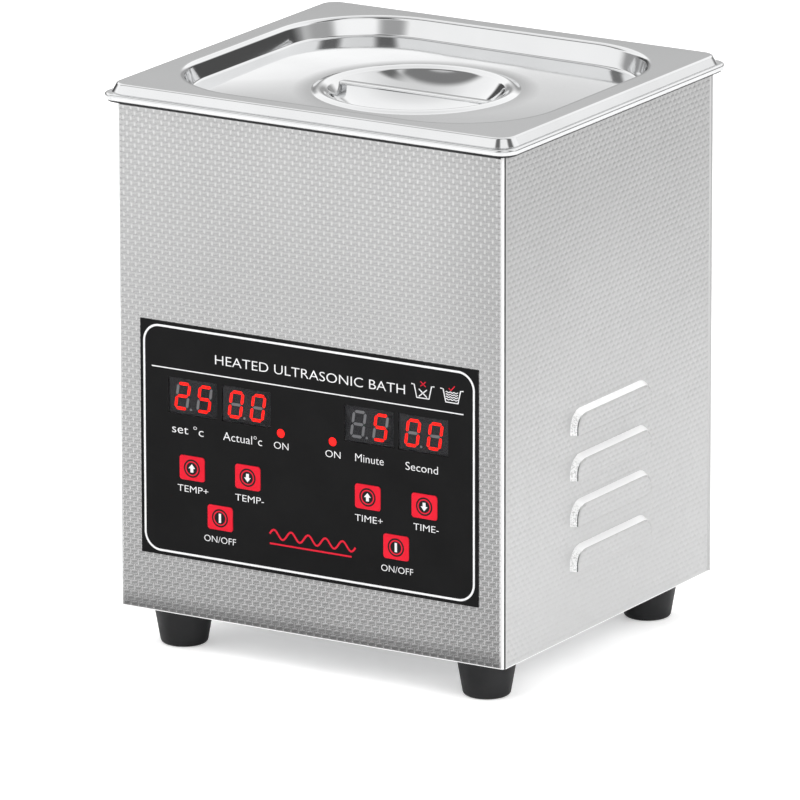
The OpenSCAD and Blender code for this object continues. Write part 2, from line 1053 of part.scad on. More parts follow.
module thermal_cutout() {
    color(black)
        translate([-46, 26, tank_under]) {
            translate([0, 0, -2])
                cylinder(r = 9, h = 2);
            translate([0, 0, -8])
                cylinder(r = 8, h = 6.1);
            for (x = [-1, 1])
                translate([x * 4 - 0.4, -3, -14])
                    cube([0.8, 6, 6.1]);
        }
}

module temperature_sensor() {
    color(brass)
        translate([46, 26, tank_under]) {
            translate([0, 0, -1])
                cylinder(r = 5, h = 1);
            translate([0, 0, -9])
                cylinder(r = 3, h = 8.1);
        }
}

// ---------- back panel parts ----------

// Outline of an appliance inlet with its two cut corners
module inlet_outline(width, height, cut) {
    polygon([
        [-width / 2, -height / 2], [width / 2, -height / 2],
        [width / 2, height / 2 - cut], [width / 2 - cut, height / 2],
        [-width / 2 + cut, height / 2], [-width / 2, height / 2 - cut]
    ]);
}

module power_inlet() {
    color(black)
        translate([inlet_x, back_face, inlet_z])
            rotate([90, 0, 0])
                difference() {
                    union() {
                        translate([0, 0, -inlet_flange])
                            linear_extrude(inlet_flange)
                                rounded_outline(50, 24, 6);
                        translate([0, 0, -0.1])
                            linear_extrude(16)
                                inlet_outline(27.2, 19.6, 4);
                    }
                    translate([0, 0, -inlet_flange - 1])
                        linear_extrude(inlet_flange + 14)
                            inlet_outline(24.4, 16.6, 3.6);
                    for (side = [-0.5, 0.5])
                        translate([side * inlet_screws_apart, 0, -inlet_flange - 1])
                            cylinder(r = m3_hole, h = inlet_flange + 2);
                    for (pin = inlet_pin_places)
                        translate([pin[0] - 2, pin[1] - 1, 10])
                            cube([4, 2, 10]);
                }
}

module inlet_pins() {
    color(bright)
        for (pin = inlet_pin_places)
            translate([inlet_x + pin[0] - 2, back_face - 22, inlet_z + pin[1] - 1])
                cube([4, 20, 2]);
}

module inlet_screws() {
    color(bright)
        for (side = [-0.5, 0.5])
            translate([inlet_x + side * inlet_screws_apart, back_face + inlet_flange, inlet_z])
                rotate([-90, 0, 0])
                    pan_screw(m3, 7);
}

module power_switch_body() {
    color(black)
        difference() {
            union() {
                translate([switch_x, back_face + 2, switch_z])
                    rotate([90, 0, 0])
                        linear_extrude(2)
                            rounded_outline(15, 21, 1.5);
                front_box(switch_x, switch_z, [12.8, 19], back_face - 14, back_face + 0.1);
                for (z = [-6, 0, 6])
                    front_box(switch_x, switch_z + z, [4.8, 0.8], back_face - 22, back_face - 13.9);
            }
            front_box(switch_x, switch_z, [9.6, 17], back_face - 6, back_face + 5);
            translate([switch_x - 5.8, rocker_axis, switch_z])
                rotate([0, 90, 0])
                    cylinder(r = pivot_radius + pivot_gap, h = 11.6);
        }
}

module power_switch_rocker() {
    color(black)
        translate([switch_x, rocker_axis, switch_z])
            rotate([rocker_tilt, 0, 0]) {
                difference() {
                    translate([-4.7, -1.6, -7.9])
                        cube([9.4, 4.4, 15.8]);
                    translate([-6, 24.2, 0])
                        rotate([0, 90, 0])
                            cylinder(r = 22, h = 12);
                }
                translate([-5.6, 0, 0])
                    rotate([0, 90, 0])
                        cylinder(r = pivot_radius, h = 11.2);
            }
}

module fan_frame() {
    low = back_face - sheet - fan_thick;
    high = back_face - sheet;
    color(black)
        difference() {
            union() {
                difference() {
                    front_block(fan_x, fan_z, [fan_size, fan_size], 3, low, high);
                    along_y(fan_x, fan_z, fan_bore, low - 1, high + 1);
                }
                along_y(fan_x, fan_z, hub_radius, low, low + 2);
                for (turn = [45, 135])
                    translate([fan_x, low + 1, fan_z])
                        rotate([0, turn, 0])
                            cube([3, 2, 2 * fan_bore + 1], center = true);
            }
            along_y(fan_x, fan_z, shaft_radius + shaft_gap, low - 1, high);
            for (x = [-1, 1], z = [-1, 1])
                along_y(fan_x + x * fan_hole, fan_z + z * fan_hole, m3, low - 1, high + 1);
        }
}

module fan_rotor() {
    low = back_face - sheet - fan_thick;
    color(black) {
        along_y(fan_x, fan_z, shaft_radius, low, low + 4);
        along_y(fan_x, fan_z, hub_radius - 0.5, low + 2.4, low + 9);
        intersection() {
            along_y(fan_x, fan_z, fan_bore - 0.8, low + 2.6, low + 8.8);
            for (i = [0:fan_blades - 1])
                translate([fan_x, low + 5.7, fan_z])
                    rotate([0, 360 / fan_blades * i, 0])
                        translate([hub_radius - 1.5, 0, 0])
                            rotate([38, 0, 0])
                                translate([0, -5, -0.6])
                                    cube([fan_bore, 10, 1.2]);
        }
    }
}

module fan_screws() {
    color(bright)
        for (x = [-1, 1], z = [-1, 1])
            translate([fan_x + x * fan_hole, back_face, fan_z + z * fan_hole])
                rotate([-90, 0, 0])
                    pan_screw(m3, 9);
}

// ---------- wiring ----------

module mains_wires() {
    tab = back_face - 22;
    board_y = driver_y + 34;
    color([0.35, 0.22, 0.12])
        for (side = [-1, 1])
            wire([
                [switch_x, tab, switch_z + 6 * side],
                [switch_x, tab - 6 - 2 * side, switch_z + 6 * side],
                [switch_x - 14 + 3 * side, 32 - 3 * side, 60 + 6 * side],
                [switch_x - 14 + 3 * side, board_y, driver_top + 9],
                [switch_x - 14 + 3 * side, board_y, driver_top]
            ], 1.2);
}

module inlet_wires() {
    tab = back_face - 22;
    board_y = driver_y + 34;
    color([0.15, 0.25, 0.55])
        for (i = [0, 1]) {
            pin_x = inlet_x + inlet_pin_places[i][0];
            pin_z = inlet_z + inlet_pin_places[i][1];
            board_x = driver_x + 20 + 9 * i;
            wire([
                [pin_x, tab, pin_z], [pin_x, tab - 7 - i, pin_z],
                [board_x, board_y, driver_top + 7], [board_x, board_y, driver_top]
            ], 1.2);
        }
}

module transducer_wires() {
    color(red)
        for (i = [0, 1])
            wire([
                [-24 - 1.1, 0, [electrode_2_low, electrode_1_low][i]],
                [-27 - 3 * i, 0, electrode_2_low - 5 + 3 * i],
                [-27 - 3 * i, driver_y - 10, driver_top + 9],
                [-27 - 3 * i, driver_y - 10, driver_top]
            ], 1);
}

module display_cable() {
    plug = [22, 6, 5];
    ribbon_y = board_back + 2;
    ribbon_z = driver_top + 3;
    board_edge = driver_y - driver_width / 2;
    color(grey)
        translate([-20, 0, 0]) {
            translate([0, board_back, 50])
                cube(plug);
            translate([0, board_edge + 1, driver_top])
                cube(plug);
            translate([0.5, ribbon_y, ribbon_z])
                cube([21, 1, 51 - ribbon_z]);
            translate([0.5, ribbon_y, ribbon_z])
                cube([21, board_edge + 2 - ribbon_y, 1]);
        }
}

// ---------- one line for every piece ----------

housing_shell();
rear_cover();
base_plate();
feet();
foot_screws();
base_screws();
rear_cover_screws();
tank();
rim_gasket();
lid();
lid_handle_bar();
panel_overlay();
display_windows();
display_modules();
display_segments();
indicator_leds();
control_board();
control_standoffs();
control_screws();
key_switches();
key_temp_up();
key_temp_down();
key_heat_on_off();
key_time_up();
key_time_down();
key_timer_on_off();
plunger_temp_up();
plunger_temp_down();
plunger_heat_on_off();
plunger_time_up();
plunger_time_down();
plunger_timer_on_off();
driver_board();
driver_standoffs();
driver_screws();
transformer_core();
transformer_winding();
driver_heatsink();
power_transistors();
filter_capacitors();
transducer_horn();
piezo_rings();
transducer_electrodes();
transducer_tail_mass();
transducer_bolt();
heater_pads();
thermal_cutout();
temperature_sensor();
power_inlet();
inlet_pins();
inlet_screws();
power_switch_body();
power_switch_rocker();
fan_frame();
fan_rotor();
fan_screws();
mains_wires();
inlet_wires();
transducer_wires();
display_cable();
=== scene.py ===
import json
import math

import bpy
from mathutils import Matrix, Vector


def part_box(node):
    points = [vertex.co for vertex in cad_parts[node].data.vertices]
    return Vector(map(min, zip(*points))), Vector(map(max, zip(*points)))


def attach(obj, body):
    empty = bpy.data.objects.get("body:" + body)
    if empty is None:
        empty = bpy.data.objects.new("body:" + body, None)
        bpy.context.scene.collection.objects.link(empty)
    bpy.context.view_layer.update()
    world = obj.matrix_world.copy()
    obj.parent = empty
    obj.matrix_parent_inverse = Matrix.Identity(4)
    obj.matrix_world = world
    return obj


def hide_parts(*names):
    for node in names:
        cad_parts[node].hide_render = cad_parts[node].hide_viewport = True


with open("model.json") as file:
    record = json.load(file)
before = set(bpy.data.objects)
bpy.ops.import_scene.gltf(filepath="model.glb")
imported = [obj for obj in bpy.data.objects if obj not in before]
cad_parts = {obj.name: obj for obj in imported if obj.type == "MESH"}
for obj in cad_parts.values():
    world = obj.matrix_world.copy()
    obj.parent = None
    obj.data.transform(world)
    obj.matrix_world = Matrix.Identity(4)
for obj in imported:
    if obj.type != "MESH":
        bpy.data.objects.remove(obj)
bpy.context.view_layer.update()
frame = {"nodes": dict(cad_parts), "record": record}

MM = 0.001


# ---------------------------------------------------------------- materials

class Nodes:
    """Small helper for building a material's node tree."""

    def __init__(self, name):
        self.material = bpy.data.materials.new(name)
        self.material.use_nodes = True
        self.tree = self.material.node_tree
        self.tree.nodes.clear()
        self.shader = self.add("ShaderNodeBsdfPrincipled")
        self.output = self.add("ShaderNodeOutputMaterial")
        self.link(self.shader, "BSDF", self.output, "Surface")
        self.place = self.add("ShaderNodeTexCoord")

    def add(self, kind, **values):
        node = self.tree.nodes.new(kind)
        for key, value in values.items():
            if key in node.inputs:
                node.inputs[key].default_value = value
            else:
                setattr(node, key, value)
        return node

    def link(self, source, out, target, into):
        self.tree.links.new(source.outputs[out], target.inputs[into])

    def math(self, operation, a, b=None):
        node = self.add("ShaderNodeMath", operation=operation)
        for index, value in enumerate((a, b)):
            if value is None:
                continue
            if isinstance(value, (int, float)):
                node.inputs[index].default_value = value
            else:
                self.tree.links.new(value, node.inputs[index])
        return node.outputs[0]

    def parts(self, node, out):
        """The x, y and z of a vector output."""
        split = self.add("ShaderNodeSeparateXYZ")
        self.link(node, out, split, "Vector")
        return [split.outputs[axis] for axis in "XYZ"]

    def noise(self, scale, detail=4.0, rough=0.55, stretch=None):
        """Noise in object space; scale is features per metre."""
        node = self.add("ShaderNodeTexNoise", Scale=scale, Detail=detail, Roughness=rough)
        if stretch:
            mapping = self.add("ShaderNodeMapping")
            mapping.inputs["Scale"].default_value = stretch
            self.link(self.place, "Object", mapping, "Vector")
            self.link(mapping, "Vector", node, "Vector")
        else:
            self.link(self.place, "Object", node, "Vector")
        return node.outputs["Fac"]

    def ramp(self, source, low, high, out_low, out_high):
        node = self.add("ShaderNodeMapRange")
        for key, value in (("From Min", low), ("From Max", high),
                           ("To Min", out_low), ("To Max", out_high)):
            node.inputs[key].default_value = value
        self.tree.links.new(source, node.inputs["Value"])
        return node.outputs["Result"]

    def mix_color(self, factor, a, b):
        node = self.add("ShaderNodeMix", data_type="RGBA")
        for index, value in ((6, a), (7, b)):
            if isinstance(value, tuple):
                node.inputs[index].default_value = (*value, 1.0)
            else:
                self.tree.links.new(value, node.inputs[index])
        if isinstance(factor, (int, float)):
            node.inputs[0].default_value = factor
        else:
            self.tree.links.new(factor, node.inputs[0])
        return node.outputs[2]

    def bump(self, height, distance, strength=1.0, normal=None):
        node = self.add("ShaderNodeBump", Strength=strength, Distance=distance)
        self.tree.links.new(height, node.inputs["Height"])
        if normal is not None:
            self.tree.links.new(normal, node.inputs["Normal"])
        return node.outputs["Normal"]

    def rounded_edges(self, radius):
        """Shading normal that rounds sharp edges by a radius in metres."""
        node = self.add("ShaderNodeBevel", samples=4)
        node.inputs["Radius"].default_value = radius
        return node.outputs["Normal"]

    def edge_mask(self, rounded):
        """1 on sharp edges and 0 on flats, from a rounded-edge normal."""
        geometry = self.add("ShaderNodeNewGeometry")
        dot = self.add("ShaderNodeVectorMath", operation="DOT_PRODUCT")
        self.tree.links.new(rounded, dot.inputs[0])
        self.link(geometry, "Normal", dot, 1)
        return self.ramp(dot.outputs["Value"], 0.995, 0.85, 0.0, 1.0)

    def set(self, name, value):
        socket = self.shader.inputs[name]
        if isinstance(value, (int, float)):
            socket.default_value = value
        elif isinstance(value, tuple):
            socket.default_value = (*value, 1.0) if len(value) == 3 else value
        else:
            self.tree.links.new(value, socket)


def grey(value):
    return (value, value, value)


def faded(base, share):
    return tuple(share * c for c in base)


def moulded(name, base, tone, rough=0.45, spread=0.12, grain=900.0, depth=0.00004,
            edge=0.0003, worn_and_highlight=None, metallic=0.0, specular=0.5):
    """General surface: two-tone colour, uneven roughness, fine grain, and lightened edges: wear on most
    pieces, a painted highlight on the red keys.
    """
    m = Nodes(name)
    patches = m.noise(55.0, 5.0)
    color = m.mix_color(m.ramp(patches, 0.35, 0.65, 0.0, 1.0), base, tone)
    rounded = m.rounded_edges(edge)
    if worn_and_highlight:
        # Lightened edges: wear on most pieces, a painted rim highlight on the red keys.
        rubbed_and_highlight = m.math("MULTIPLY", m.edge_mask(rounded), m.ramp(m.noise(260.0, 6.0), 0.42, 0.62, 0.0, 0.8))
        color = m.mix_color(rubbed_and_highlight, color, worn_and_highlight)
    m.set("Base Color", color)
    m.set("Roughness", m.ramp(m.noise(140.0, 6.0), 0.3, 0.7, rough - spread, rough + spread))
    m.set("Metallic", metallic)
    m.set("Specular IOR Level", specular)
    m.set("Normal", m.bump(m.noise(grain, 4.0), depth, 1.0, rounded))
    return m.material


def bare_metal(name, base, tone, rough, grain, depth, edge=0.0002):
    return moulded(name, base, tone, rough, 0.1, grain, depth, edge, None, 1.0)


# Places of the painted light and shade, and of the louvre ends' grain, on the pressed sheet: heights, or
# distances from the middle, in metres
PAINTED_GRADIENT_HEIGHTS = (0.016, 0.19)
CONTRAST_HEIGHTS = (0.02, 0.14)
LOWEST_ROWS_SHADE = (0.0165, 0.0230)
TOP_ROW_SHADE = (0.20765, 0.20780)
FRONT_STRIP_SHADE = (0.050, 0.080)
BOTTOM_LIP_HIGHLIGHT = (0.01625, 0.01640)
RIM_SHADOW = (0.20805, 0.20815)
HOOD_END = (0.0831, 0.0832)
HOOD_CREASE_SHADOW = (0.08525, 0.08535)


def paint_cell_light_and_shade(m, color, x, z, across, up):
    """Painted highlights on the cell ends and painted shade on the ledges, stronger low on the wall, and
    painted shade on a strip towards the right end of the front and on the first and last rows.
    """
    # Painted contrast: the painted cell highlights and ledge shade are strongest low on the wall.
    strength = m.ramp(z, *CONTRAST_HEIGHTS, 1.0, 0.36)
    painted_ledge_shade = m.math("MULTIPLY", strength, m.ramp(up, 0.10, 0.28, 0.0, 0.36))
    painted_end_highlight = m.math("MULTIPLY", strength, m.ramp(across, 0.10, 0.22, 0.0, 0.95))
    # Painted shade on a strip towards the right end of the front.
    color = m.mix_color(m.ramp(x, *FRONT_STRIP_SHADE, 0.0, 0.15), color, grey(0.10))
    color = m.mix_color(painted_ledge_shade, color, grey(0.10))
    color = m.mix_color(painted_end_highlight, color, grey(0.95))
    # Painted shade on the lowest rows, and on the top row under the rim.
    color = m.mix_color(m.ramp(z, *LOWEST_ROWS_SHADE, 0.60, 0.0), color, grey(0.10))
    return m.mix_color(m.ramp(z, *TOP_ROW_SHADE, 0.0, 0.92), color, grey(0.02))


def paint_bend_light_and_shade(m, color, place, across, ahead, up):
    """Painted highlight on the bends and the bottom lip, painted grey on sideways faces, painted shade on
    the turned side of the front bends, painted shadow line under the rim, grainy louvre ends with a painted
    shadow along their crease. Returns the colour and how metallic it is."""
    x, y, z = place
    from_middle = m.math("ABSOLUTE", x)
    # Painted shading: faces turned sideways get a grey of their own.
    color = m.mix_color(m.ramp(across, 0.90, 0.97, 0.0, 1.0), color, grey(0.58))
    # Painted highlight, with less metal, on the parts of the bends facing forward or up and on the bottom
    # lip; painted shade on the parts of the front bends turned sideways.
    beside = m.math("ADD", ahead, up)
    on_bend = m.ramp(m.math("MULTIPLY", across, beside), 0.14, 0.30, 0.0, 1.0)
    turned = m.ramp(m.math("SUBTRACT", across, beside), 0.05, 0.2, 0.0, 1.0)
    rubbed_and_highlight = m.math("MULTIPLY", on_bend, m.math("SUBTRACT", 1.0, turned))
    rubbed_and_highlight = m.math("MAXIMUM", rubbed_and_highlight, m.ramp(z, *BOTTOM_LIP_HIGHLIGHT, 1.0, 0.0))
    in_front = m.ramp(y, 0.0, 0.01, 1.0, 0.0)
    shaded = m.math("MULTIPLY", m.math("MULTIPLY", on_bend, turned), in_front)
    # Painted shadow line under the rim, left off faces turned sideways.
    not_sideways = m.ramp(across, 0.3, 0.7, 1.0, 0.0)
    rim_shadow = m.math("MULTIPLY", m.ramp(z, *RIM_SHADOW, 0.0, 1.0), not_sideways)
    shaded = m.math("MAXIMUM", shaded, rim_shadow)
    # Louvre ends: grain, and a painted shadow along the crease.
    facing_ahead = m.ramp(ahead, 0.35, 0.75, 0.0, 1.0)
    hood_end = m.math("MULTIPLY", facing_ahead, m.ramp(from_middle, *HOOD_END, 0.0, 1.0))
    grain = m.math("MULTIPLY", hood_end, m.ramp(m.noise(1900.0, 2.0), 0.46, 0.60, 0.0, 0.5))
    crease_shadow = m.math("MULTIPLY", hood_end, m.ramp(from_middle, *HOOD_CREASE_SHADOW, 0.0, 1.0))
    shade = m.math("MULTIPLY", m.math("MAXIMUM", shaded, crease_shadow), 0.95)
    color = m.mix_color(rubbed_and_highlight, color, grey(0.96))
    color = m.mix_color(grain, color, grey(0.30))
    color = m.mix_color(shade, color, grey(0.02))
    return color, m.ramp(rubbed_and_highlight, 0.0, 1.0, 0.9, 0.1)


def embossed_steel(name, tone_and_shade_low=0.56, tone_and_shade_high=0.68, rough=0.34, bends=False, cells=False):
    """Satin pressed sheet: fine grain, tone patches, painted shading that changes with height, and the
    painted light and shade of its bends or its cells.
    """
    m = Nodes(name)
    m.set("Normal", m.bump(m.noise(2600.0, 3.0), 0.00001, 0.4))
    place = m.parts(m.place, "Object")
    x, y, z = place
    patches = m.ramp(m.noise(9.0, 3.0), 0.3, 0.7, -0.02, 0.02)
    # Painted shading: the sheet's tone runs from one value low on the wall to another high on it.
    value = m.math("ADD", m.ramp(z, *PAINTED_GRADIENT_HEIGHTS, tone_and_shade_low, tone_and_shade_high), patches)
    join = m.add("ShaderNodeCombineColor")
    for channel in ("Red", "Green", "Blue"):
        m.tree.links.new(value, join.inputs[channel])
    color, metal = join.outputs["Color"], 0.9
    if cells or bends:
        facing = m.parts(m.add("ShaderNodeNewGeometry"), "True Normal" if cells else "Normal")
        across, ahead, up = [m.math("ABSOLUTE", part) for part in facing]
    if cells:
        color = paint_cell_light_and_shade(m, color, x, z, across, up)
    if bends:
        color, metal = paint_bend_light_and_shade(m, color, place, across, ahead, up)
    m.set("Base Color", color)
    m.set("Metallic", metal)
    m.set("Roughness", m.ramp(m.noise(300.0, 4.0), 0.3, 0.7, rough - 0.03, rough + 0.03))
    return m.material


# Level direction away from the camera, and the most that the recess floor's normal leans back
AWAY = (-0.518, 0.855)
FLOOR_LEAN = (0.0176, -0.0291, 0.0)


def leaning_floor(m):
    """Shading normal that leans a little towards the camera over the far part of the lid's
    recess floor, outside the raised ring."""
    x, y, z = m.parts(m.place, "Object")
    reach = m.math("SQRT", m.math("ADD", m.math("MULTIPLY", x, x), m.math("MULTIPLY", y, y)))
    along = m.math("SUBTRACT", m.math("MULTIPLY", y, AWAY[1]), m.math("MULTIPLY", x, -AWAY[0]))
    on_floor = m.ramp(z, 0.2084, 0.2094, 1.0, 0.0)
    share = m.math("MULTIPLY", m.ramp(along, -0.045, 0.037, 0.0, 1.0), on_floor)
    share = m.math("MULTIPLY", share, m.ramp(reach, 0.040, 0.046, 0.0, 1.0))
    lean = m.add("ShaderNodeVectorMath", operation="SCALE")
    lean.inputs[0].default_value = FLOOR_LEAN
    m.tree.links.new(share, lean.inputs["Scale"])
    total = m.add("ShaderNodeVectorMath", operation="ADD")
    m.link(m.add("ShaderNodeNewGeometry"), "Normal", total, 0)
    m.link(lean, "Vector", total, 1)
    unit = m.add("ShaderNodeVectorMath", operation="NORMALIZE")
    m.link(total, "Vector", unit, 0)
    return unit.outputs["Vector"]


def polished_steel(name, rough=0.075, spread=0.035, base=(0.80, 0.805, 0.81),
                   lines=(1.0, 30.0, 30.0), dished=False):
    """Bright pressed sheet with fine polishing lines and faint smears."""
    m = Nodes(name)
    smears = m.noise(22.0, 5.0)
    polish = m.noise(160.0, 3.0, 0.6, lines)
    m.set("Base Color", m.mix_color(m.ramp(smears, 0.35, 0.7, 0.0, 1.0), base, faded(base, 0.94)))
    m.set("Metallic", 1.0)
    uneven = m.math("ADD", m.math("MULTIPLY", smears, 0.6), m.math("MULTIPLY", polish, 0.4))
    m.set("Roughness", m.ramp(uneven, 0.3, 0.7, rough - spread, rough + spread))
    m.set("Normal", m.bump(polish, 0.000004, 0.35, leaning_floor(m) if dished else None))
    return m.material


def printed(name, base):
    """Screen-printed ink with slight unevenness in tone and gloss."""
    m = Nodes(name)
    patches = m.ramp(m.noise(700.0, 3.0), 0.35, 0.65, 0.0, 1.0)
    m.set("Base Color", m.mix_color(patches, base, faded(base, 0.9)))
    m.set("Roughness", m.ramp(m.noise(900.0, 3.0), 0.3, 0.7, 0.42, 0.58))
    m.set("Specular IOR Level", 0.12)
    m.set("Normal", m.bump(m.noise(2500.0, 2.0), 0.00001, 0.5))
    return m.material


def glowing(name, base, strength):
    """Lit bar or lamp, a little uneven across its face."""
    m = Nodes(name)
    patches = m.ramp(m.noise(900.0, 2.0), 0.35, 0.65, 0.0, 1.0)
    tone = m.mix_color(patches, base, faded(base, 0.85))
    m.set("Base Color", tone)
    m.set("Emission Color", tone)
    m.set("Emission Strength", strength)
    m.set("Specular IOR Level", 0.1)
    m.set("Roughness", 0.35)
    return m.material


def smoked(name):
    """Smoked window: mostly clear, with a faint gloss and fine surface unevenness."""
    m = Nodes(name)
    clear = m.add("ShaderNodeBsdfTransparent")
    clear.inputs["Color"].default_value = (0.86, 0.86, 0.87, 1.0)
    gloss = m.add("ShaderNodeBsdfGlossy")
    m.tree.links.new(m.ramp(m.noise(300.0, 4.0), 0.3, 0.7, 0.18, 0.30), gloss.inputs["Roughness"])
    m.tree.links.new(m.bump(m.noise(500.0, 2.0), 0.000008), gloss.inputs["Normal"])
    mix = m.add("ShaderNodeMixShader")
    mix.inputs["Fac"].default_value = 0.012
    m.link(clear, "BSDF", mix, 1)
    m.link(gloss, "BSDF", mix, 2)
    m.tree.links.new(mix.outputs[0], m.output.inputs["Surface"])
    return m.material


# The first two numbers given to embossed_steel are painted shading: the tone low and high on the wall.
STEEL = embossed_steel("embossed_steel", bends=True)
FRONT_STEEL = embossed_steel("embossed_front", 0.55, 0.52, 0.24, cells=True)
SIDE_STEEL = embossed_steel("embossed_side", 0.695, 0.50, 0.46)
POLISHED = polished_steel("polished_steel")
LID_STEEL = polished_steel("lid_steel", dished=True)
BASIN = polished_steel("basin_steel", 0.12, 0.05)
SHEET = polished_steel("plain_sheet", 0.34, 0.08, (0.62, 0.63, 0.64), (1.0, 40.0, 1.0))
ZINC = bare_metal("zinc_steel", (0.62, 0.63, 0.64), (0.52, 0.53, 0.55), 0.3, 1500.0, 0.00001)
RUBBER = moulded("black_rubber", (0.009, 0.009, 0.010), (0.013, 0.013, 0.014), 0.50, 0.10, 1400.0,
                 0.00003, 0.0006, (0.05, 0.05, 0.052), 0.0, 0.35)
PANEL = moulded("panel_black", (0.0080, 0.0080, 0.0083), (0.0098, 0.0098, 0.0101), 0.46, 0.06, 2600.0,
                0.000012, 0.0001, (0.05, 0.05, 0.052), 0.0, 0.07)
# The key's lightened edge colour is a painted rim highlight.
KEY_RED = moulded("key_red", (0.74, 0.010, 0.030), (0.69, 0.008, 0.025), 0.42, 0.06, 1800.0,
                  0.000015, 0.0003, (0.90, 0.22, 0.25), 0.0, 0.12)
PLASTIC = moulded("black_plastic", (0.016, 0.016, 0.017), (0.022, 0.022, 0.024), 0.48, 0.10, 1200.0,
                  0.00003, 0.0004, (0.08, 0.08, 0.085))
DISPLAY = moulded("display_face", (0.030, 0.030, 0.032), (0.035, 0.035, 0.037), 0.6, 0.05, 2200.0, 0.00001,
                  specular=0.15)
UNLIT = moulded("unlit_bar", (0.165, 0.165, 0.170), (0.190, 0.190, 0.195), 0.5, 0.05, 2200.0, 0.00001)
LIT = glowing("lit_bar", (1.0, 0.008, 0.004), 1.6)
LAMP = glowing("lit_lamp", (1.0, 0.012, 0.010), 1.2)
WINDOW = smoked("window_smoke")
INK_WHITE = printed("ink_white", (0.82, 0.82, 0.83))
INK_RED = printed("ink_red", (0.70, 0.012, 0.034))
INK_BLACK = printed("ink_black", (0.013, 0.013, 0.014))
BOARD = moulded("board_green", (0.012, 0.10, 0.045), (0.016, 0.13, 0.06), 0.4, 0.1, 700.0, 0.00003)
BRASS = bare_metal("brass", (0.62, 0.44, 0.16), (0.55, 0.38, 0.13), 0.3, 1500.0, 0.00001)
COPPER = bare_metal("copper", (0.66, 0.30, 0.16), (0.56, 0.24, 0.12), 0.34, 900.0, 0.00006)
ALUMINIUM = bare_metal("aluminium", (0.62, 0.63, 0.64), (0.56, 0.57, 0.58), 0.36, 1100.0, 0.00002, 0.0003)
FERRITE = moulded("ferrite", (0.030, 0.030, 0.032), (0.045, 0.045, 0.047), 0.6, 0.1, 800.0, 0.00005)
CERAMIC = moulded("piezo_ceramic", (0.70, 0.66, 0.55), (0.62, 0.58, 0.48), 0.35, 0.1, 600.0, 0.00002)
TAIL = bare_metal("tail_steel", (0.20, 0.20, 0.21), (0.28, 0.28, 0.29), 0.42, 900.0, 0.00002, 0.0003)
HEATER = moulded("heater_mat", (0.34, 0.075, 0.02), (0.40, 0.10, 0.03), 0.65, 0.1, 900.0, 0.00008)
SLEEVE = moulded("capacitor_sleeve", (0.012, 0.018, 0.065), (0.02, 0.028, 0.09), 0.3, 0.08, 700.0, 0.00002)
WIRE = moulded("wire_sleeve", (0.20, 0.012, 0.012), (0.15, 0.010, 0.010), 0.45, 0.08, 900.0, 0.00003)
CABLE = moulded("cable_grey", (0.22, 0.22, 0.23), (0.17, 0.17, 0.18), 0.5, 0.08, 900.0, 0.00003)

SLOT_MATERIAL = {
    "embossed_steel": STEEL, "plain_steel": SHEET, "polished_steel": POLISHED, "zinc_steel": ZINC,
    "black_rubber": RUBBER, "panel_black": PANEL, "window_smoke": WINDOW, "led_red": LAMP,
    "key_red": KEY_RED, "board_green": BOARD, "brass": BRASS, "copper": COPPER,
    "aluminium": ALUMINIUM, "black_plastic": PLASTIC, "ferrite": FERRITE,
    "piezo_ceramic": CERAMIC, "tail_steel": TAIL, "heater_mat": HEATER,
    "capacitor_sleeve": SLEEVE, "wire_sleeve": WIRE, "cable_grey": CABLE,
}


def dress_frame():
    """Gives every CAD node the material of its slot."""
    slots = {s["node"]: s["material_slot"] for s in frame["record"]["subparts"]}
    for node, obj in frame["nodes"].items():
        obj.data.materials.clear()
        obj.data.materials.append(SLOT_MATERIAL[slots[node]])
    frame["nodes"]["display_modules"].data.materials[0] = DISPLAY
    frame["nodes"]["rear_cover"].data.materials[0] = SIDE_STEEL


# ---------------------------------------------------------------- mesh tools

def make_piece(name, points, faces, material, body, smooth=True):
    """Mesh object from points in millimetres, riding on a body."""
    mesh = bpy.data.meshes.new(name)
    mesh.from_pydata([tuple(c * MM for c in p) for p in points], [], faces)
    mesh.validate()
    mesh.polygons.foreach_set("use_smooth", [smooth] * len(mesh.polygons))
    mesh.materials.append(material)
    obj = bpy.data.objects.new(name, mesh)
    bpy.context.scene.collection.objects.link(obj)
    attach(obj, body)
    return obj


def stand_in(node):
    """Hides a CAD node whose place a built piece takes."""
    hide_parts(node)


def weigh_normals(obj):
    """Keeps large flat faces flat while their rounded edges stay smooth."""
    modifier = obj.modifiers.new("weighted", "WEIGHTED_NORMAL")
    modifier.weight = 100
    modifier.keep_sharp = True


def thicken(obj, thickness):
    """Gives a skin a thickness in millimetres, on its inner side."""
    modifier = obj.modifiers.new("sheet", "SOLIDIFY")
    modifier.thickness = thickness * MM
    modifier.offset = -1.0
    modifier.use_even_offset = True


CORNER_STEPS = 18


def plan_loop(length, width, corner, z, steps=CORNER_STEPS):
    """Rounded rectangle seen from above, as a closed loop of points at height z."""
    x, y = length / 2 - corner, width / 2 - corner
    round_shape = x < 1e-6 and y < 1e-6
    points = []
    for quarter in range(4):
        sx = x if quarter in (0, 3) else -x
        sy = y if quarter in (0, 1) else -y
        for i in range(steps):
            part = (i + 0.5) / steps if round_shape else i / (steps - 1)
            angle = math.radians(90 * (quarter + part))
            points.append((sx + corner * math.cos(angle), sy + corner * math.sin(angle), z))
    return points


def circle_loop(radius, z, steps=CORNER_STEPS):
    return plan_loop(2 * radius, 2 * radius, radius, z, steps)


def circle_points(cx, cz, radius, count):
    """Circle on the front as x and z points."""
    turn = [2 * math.pi * i / count for i in range(count)]
    return [(cx + radius * math.cos(a), cz + radius * math.sin(a)) for a in turn]


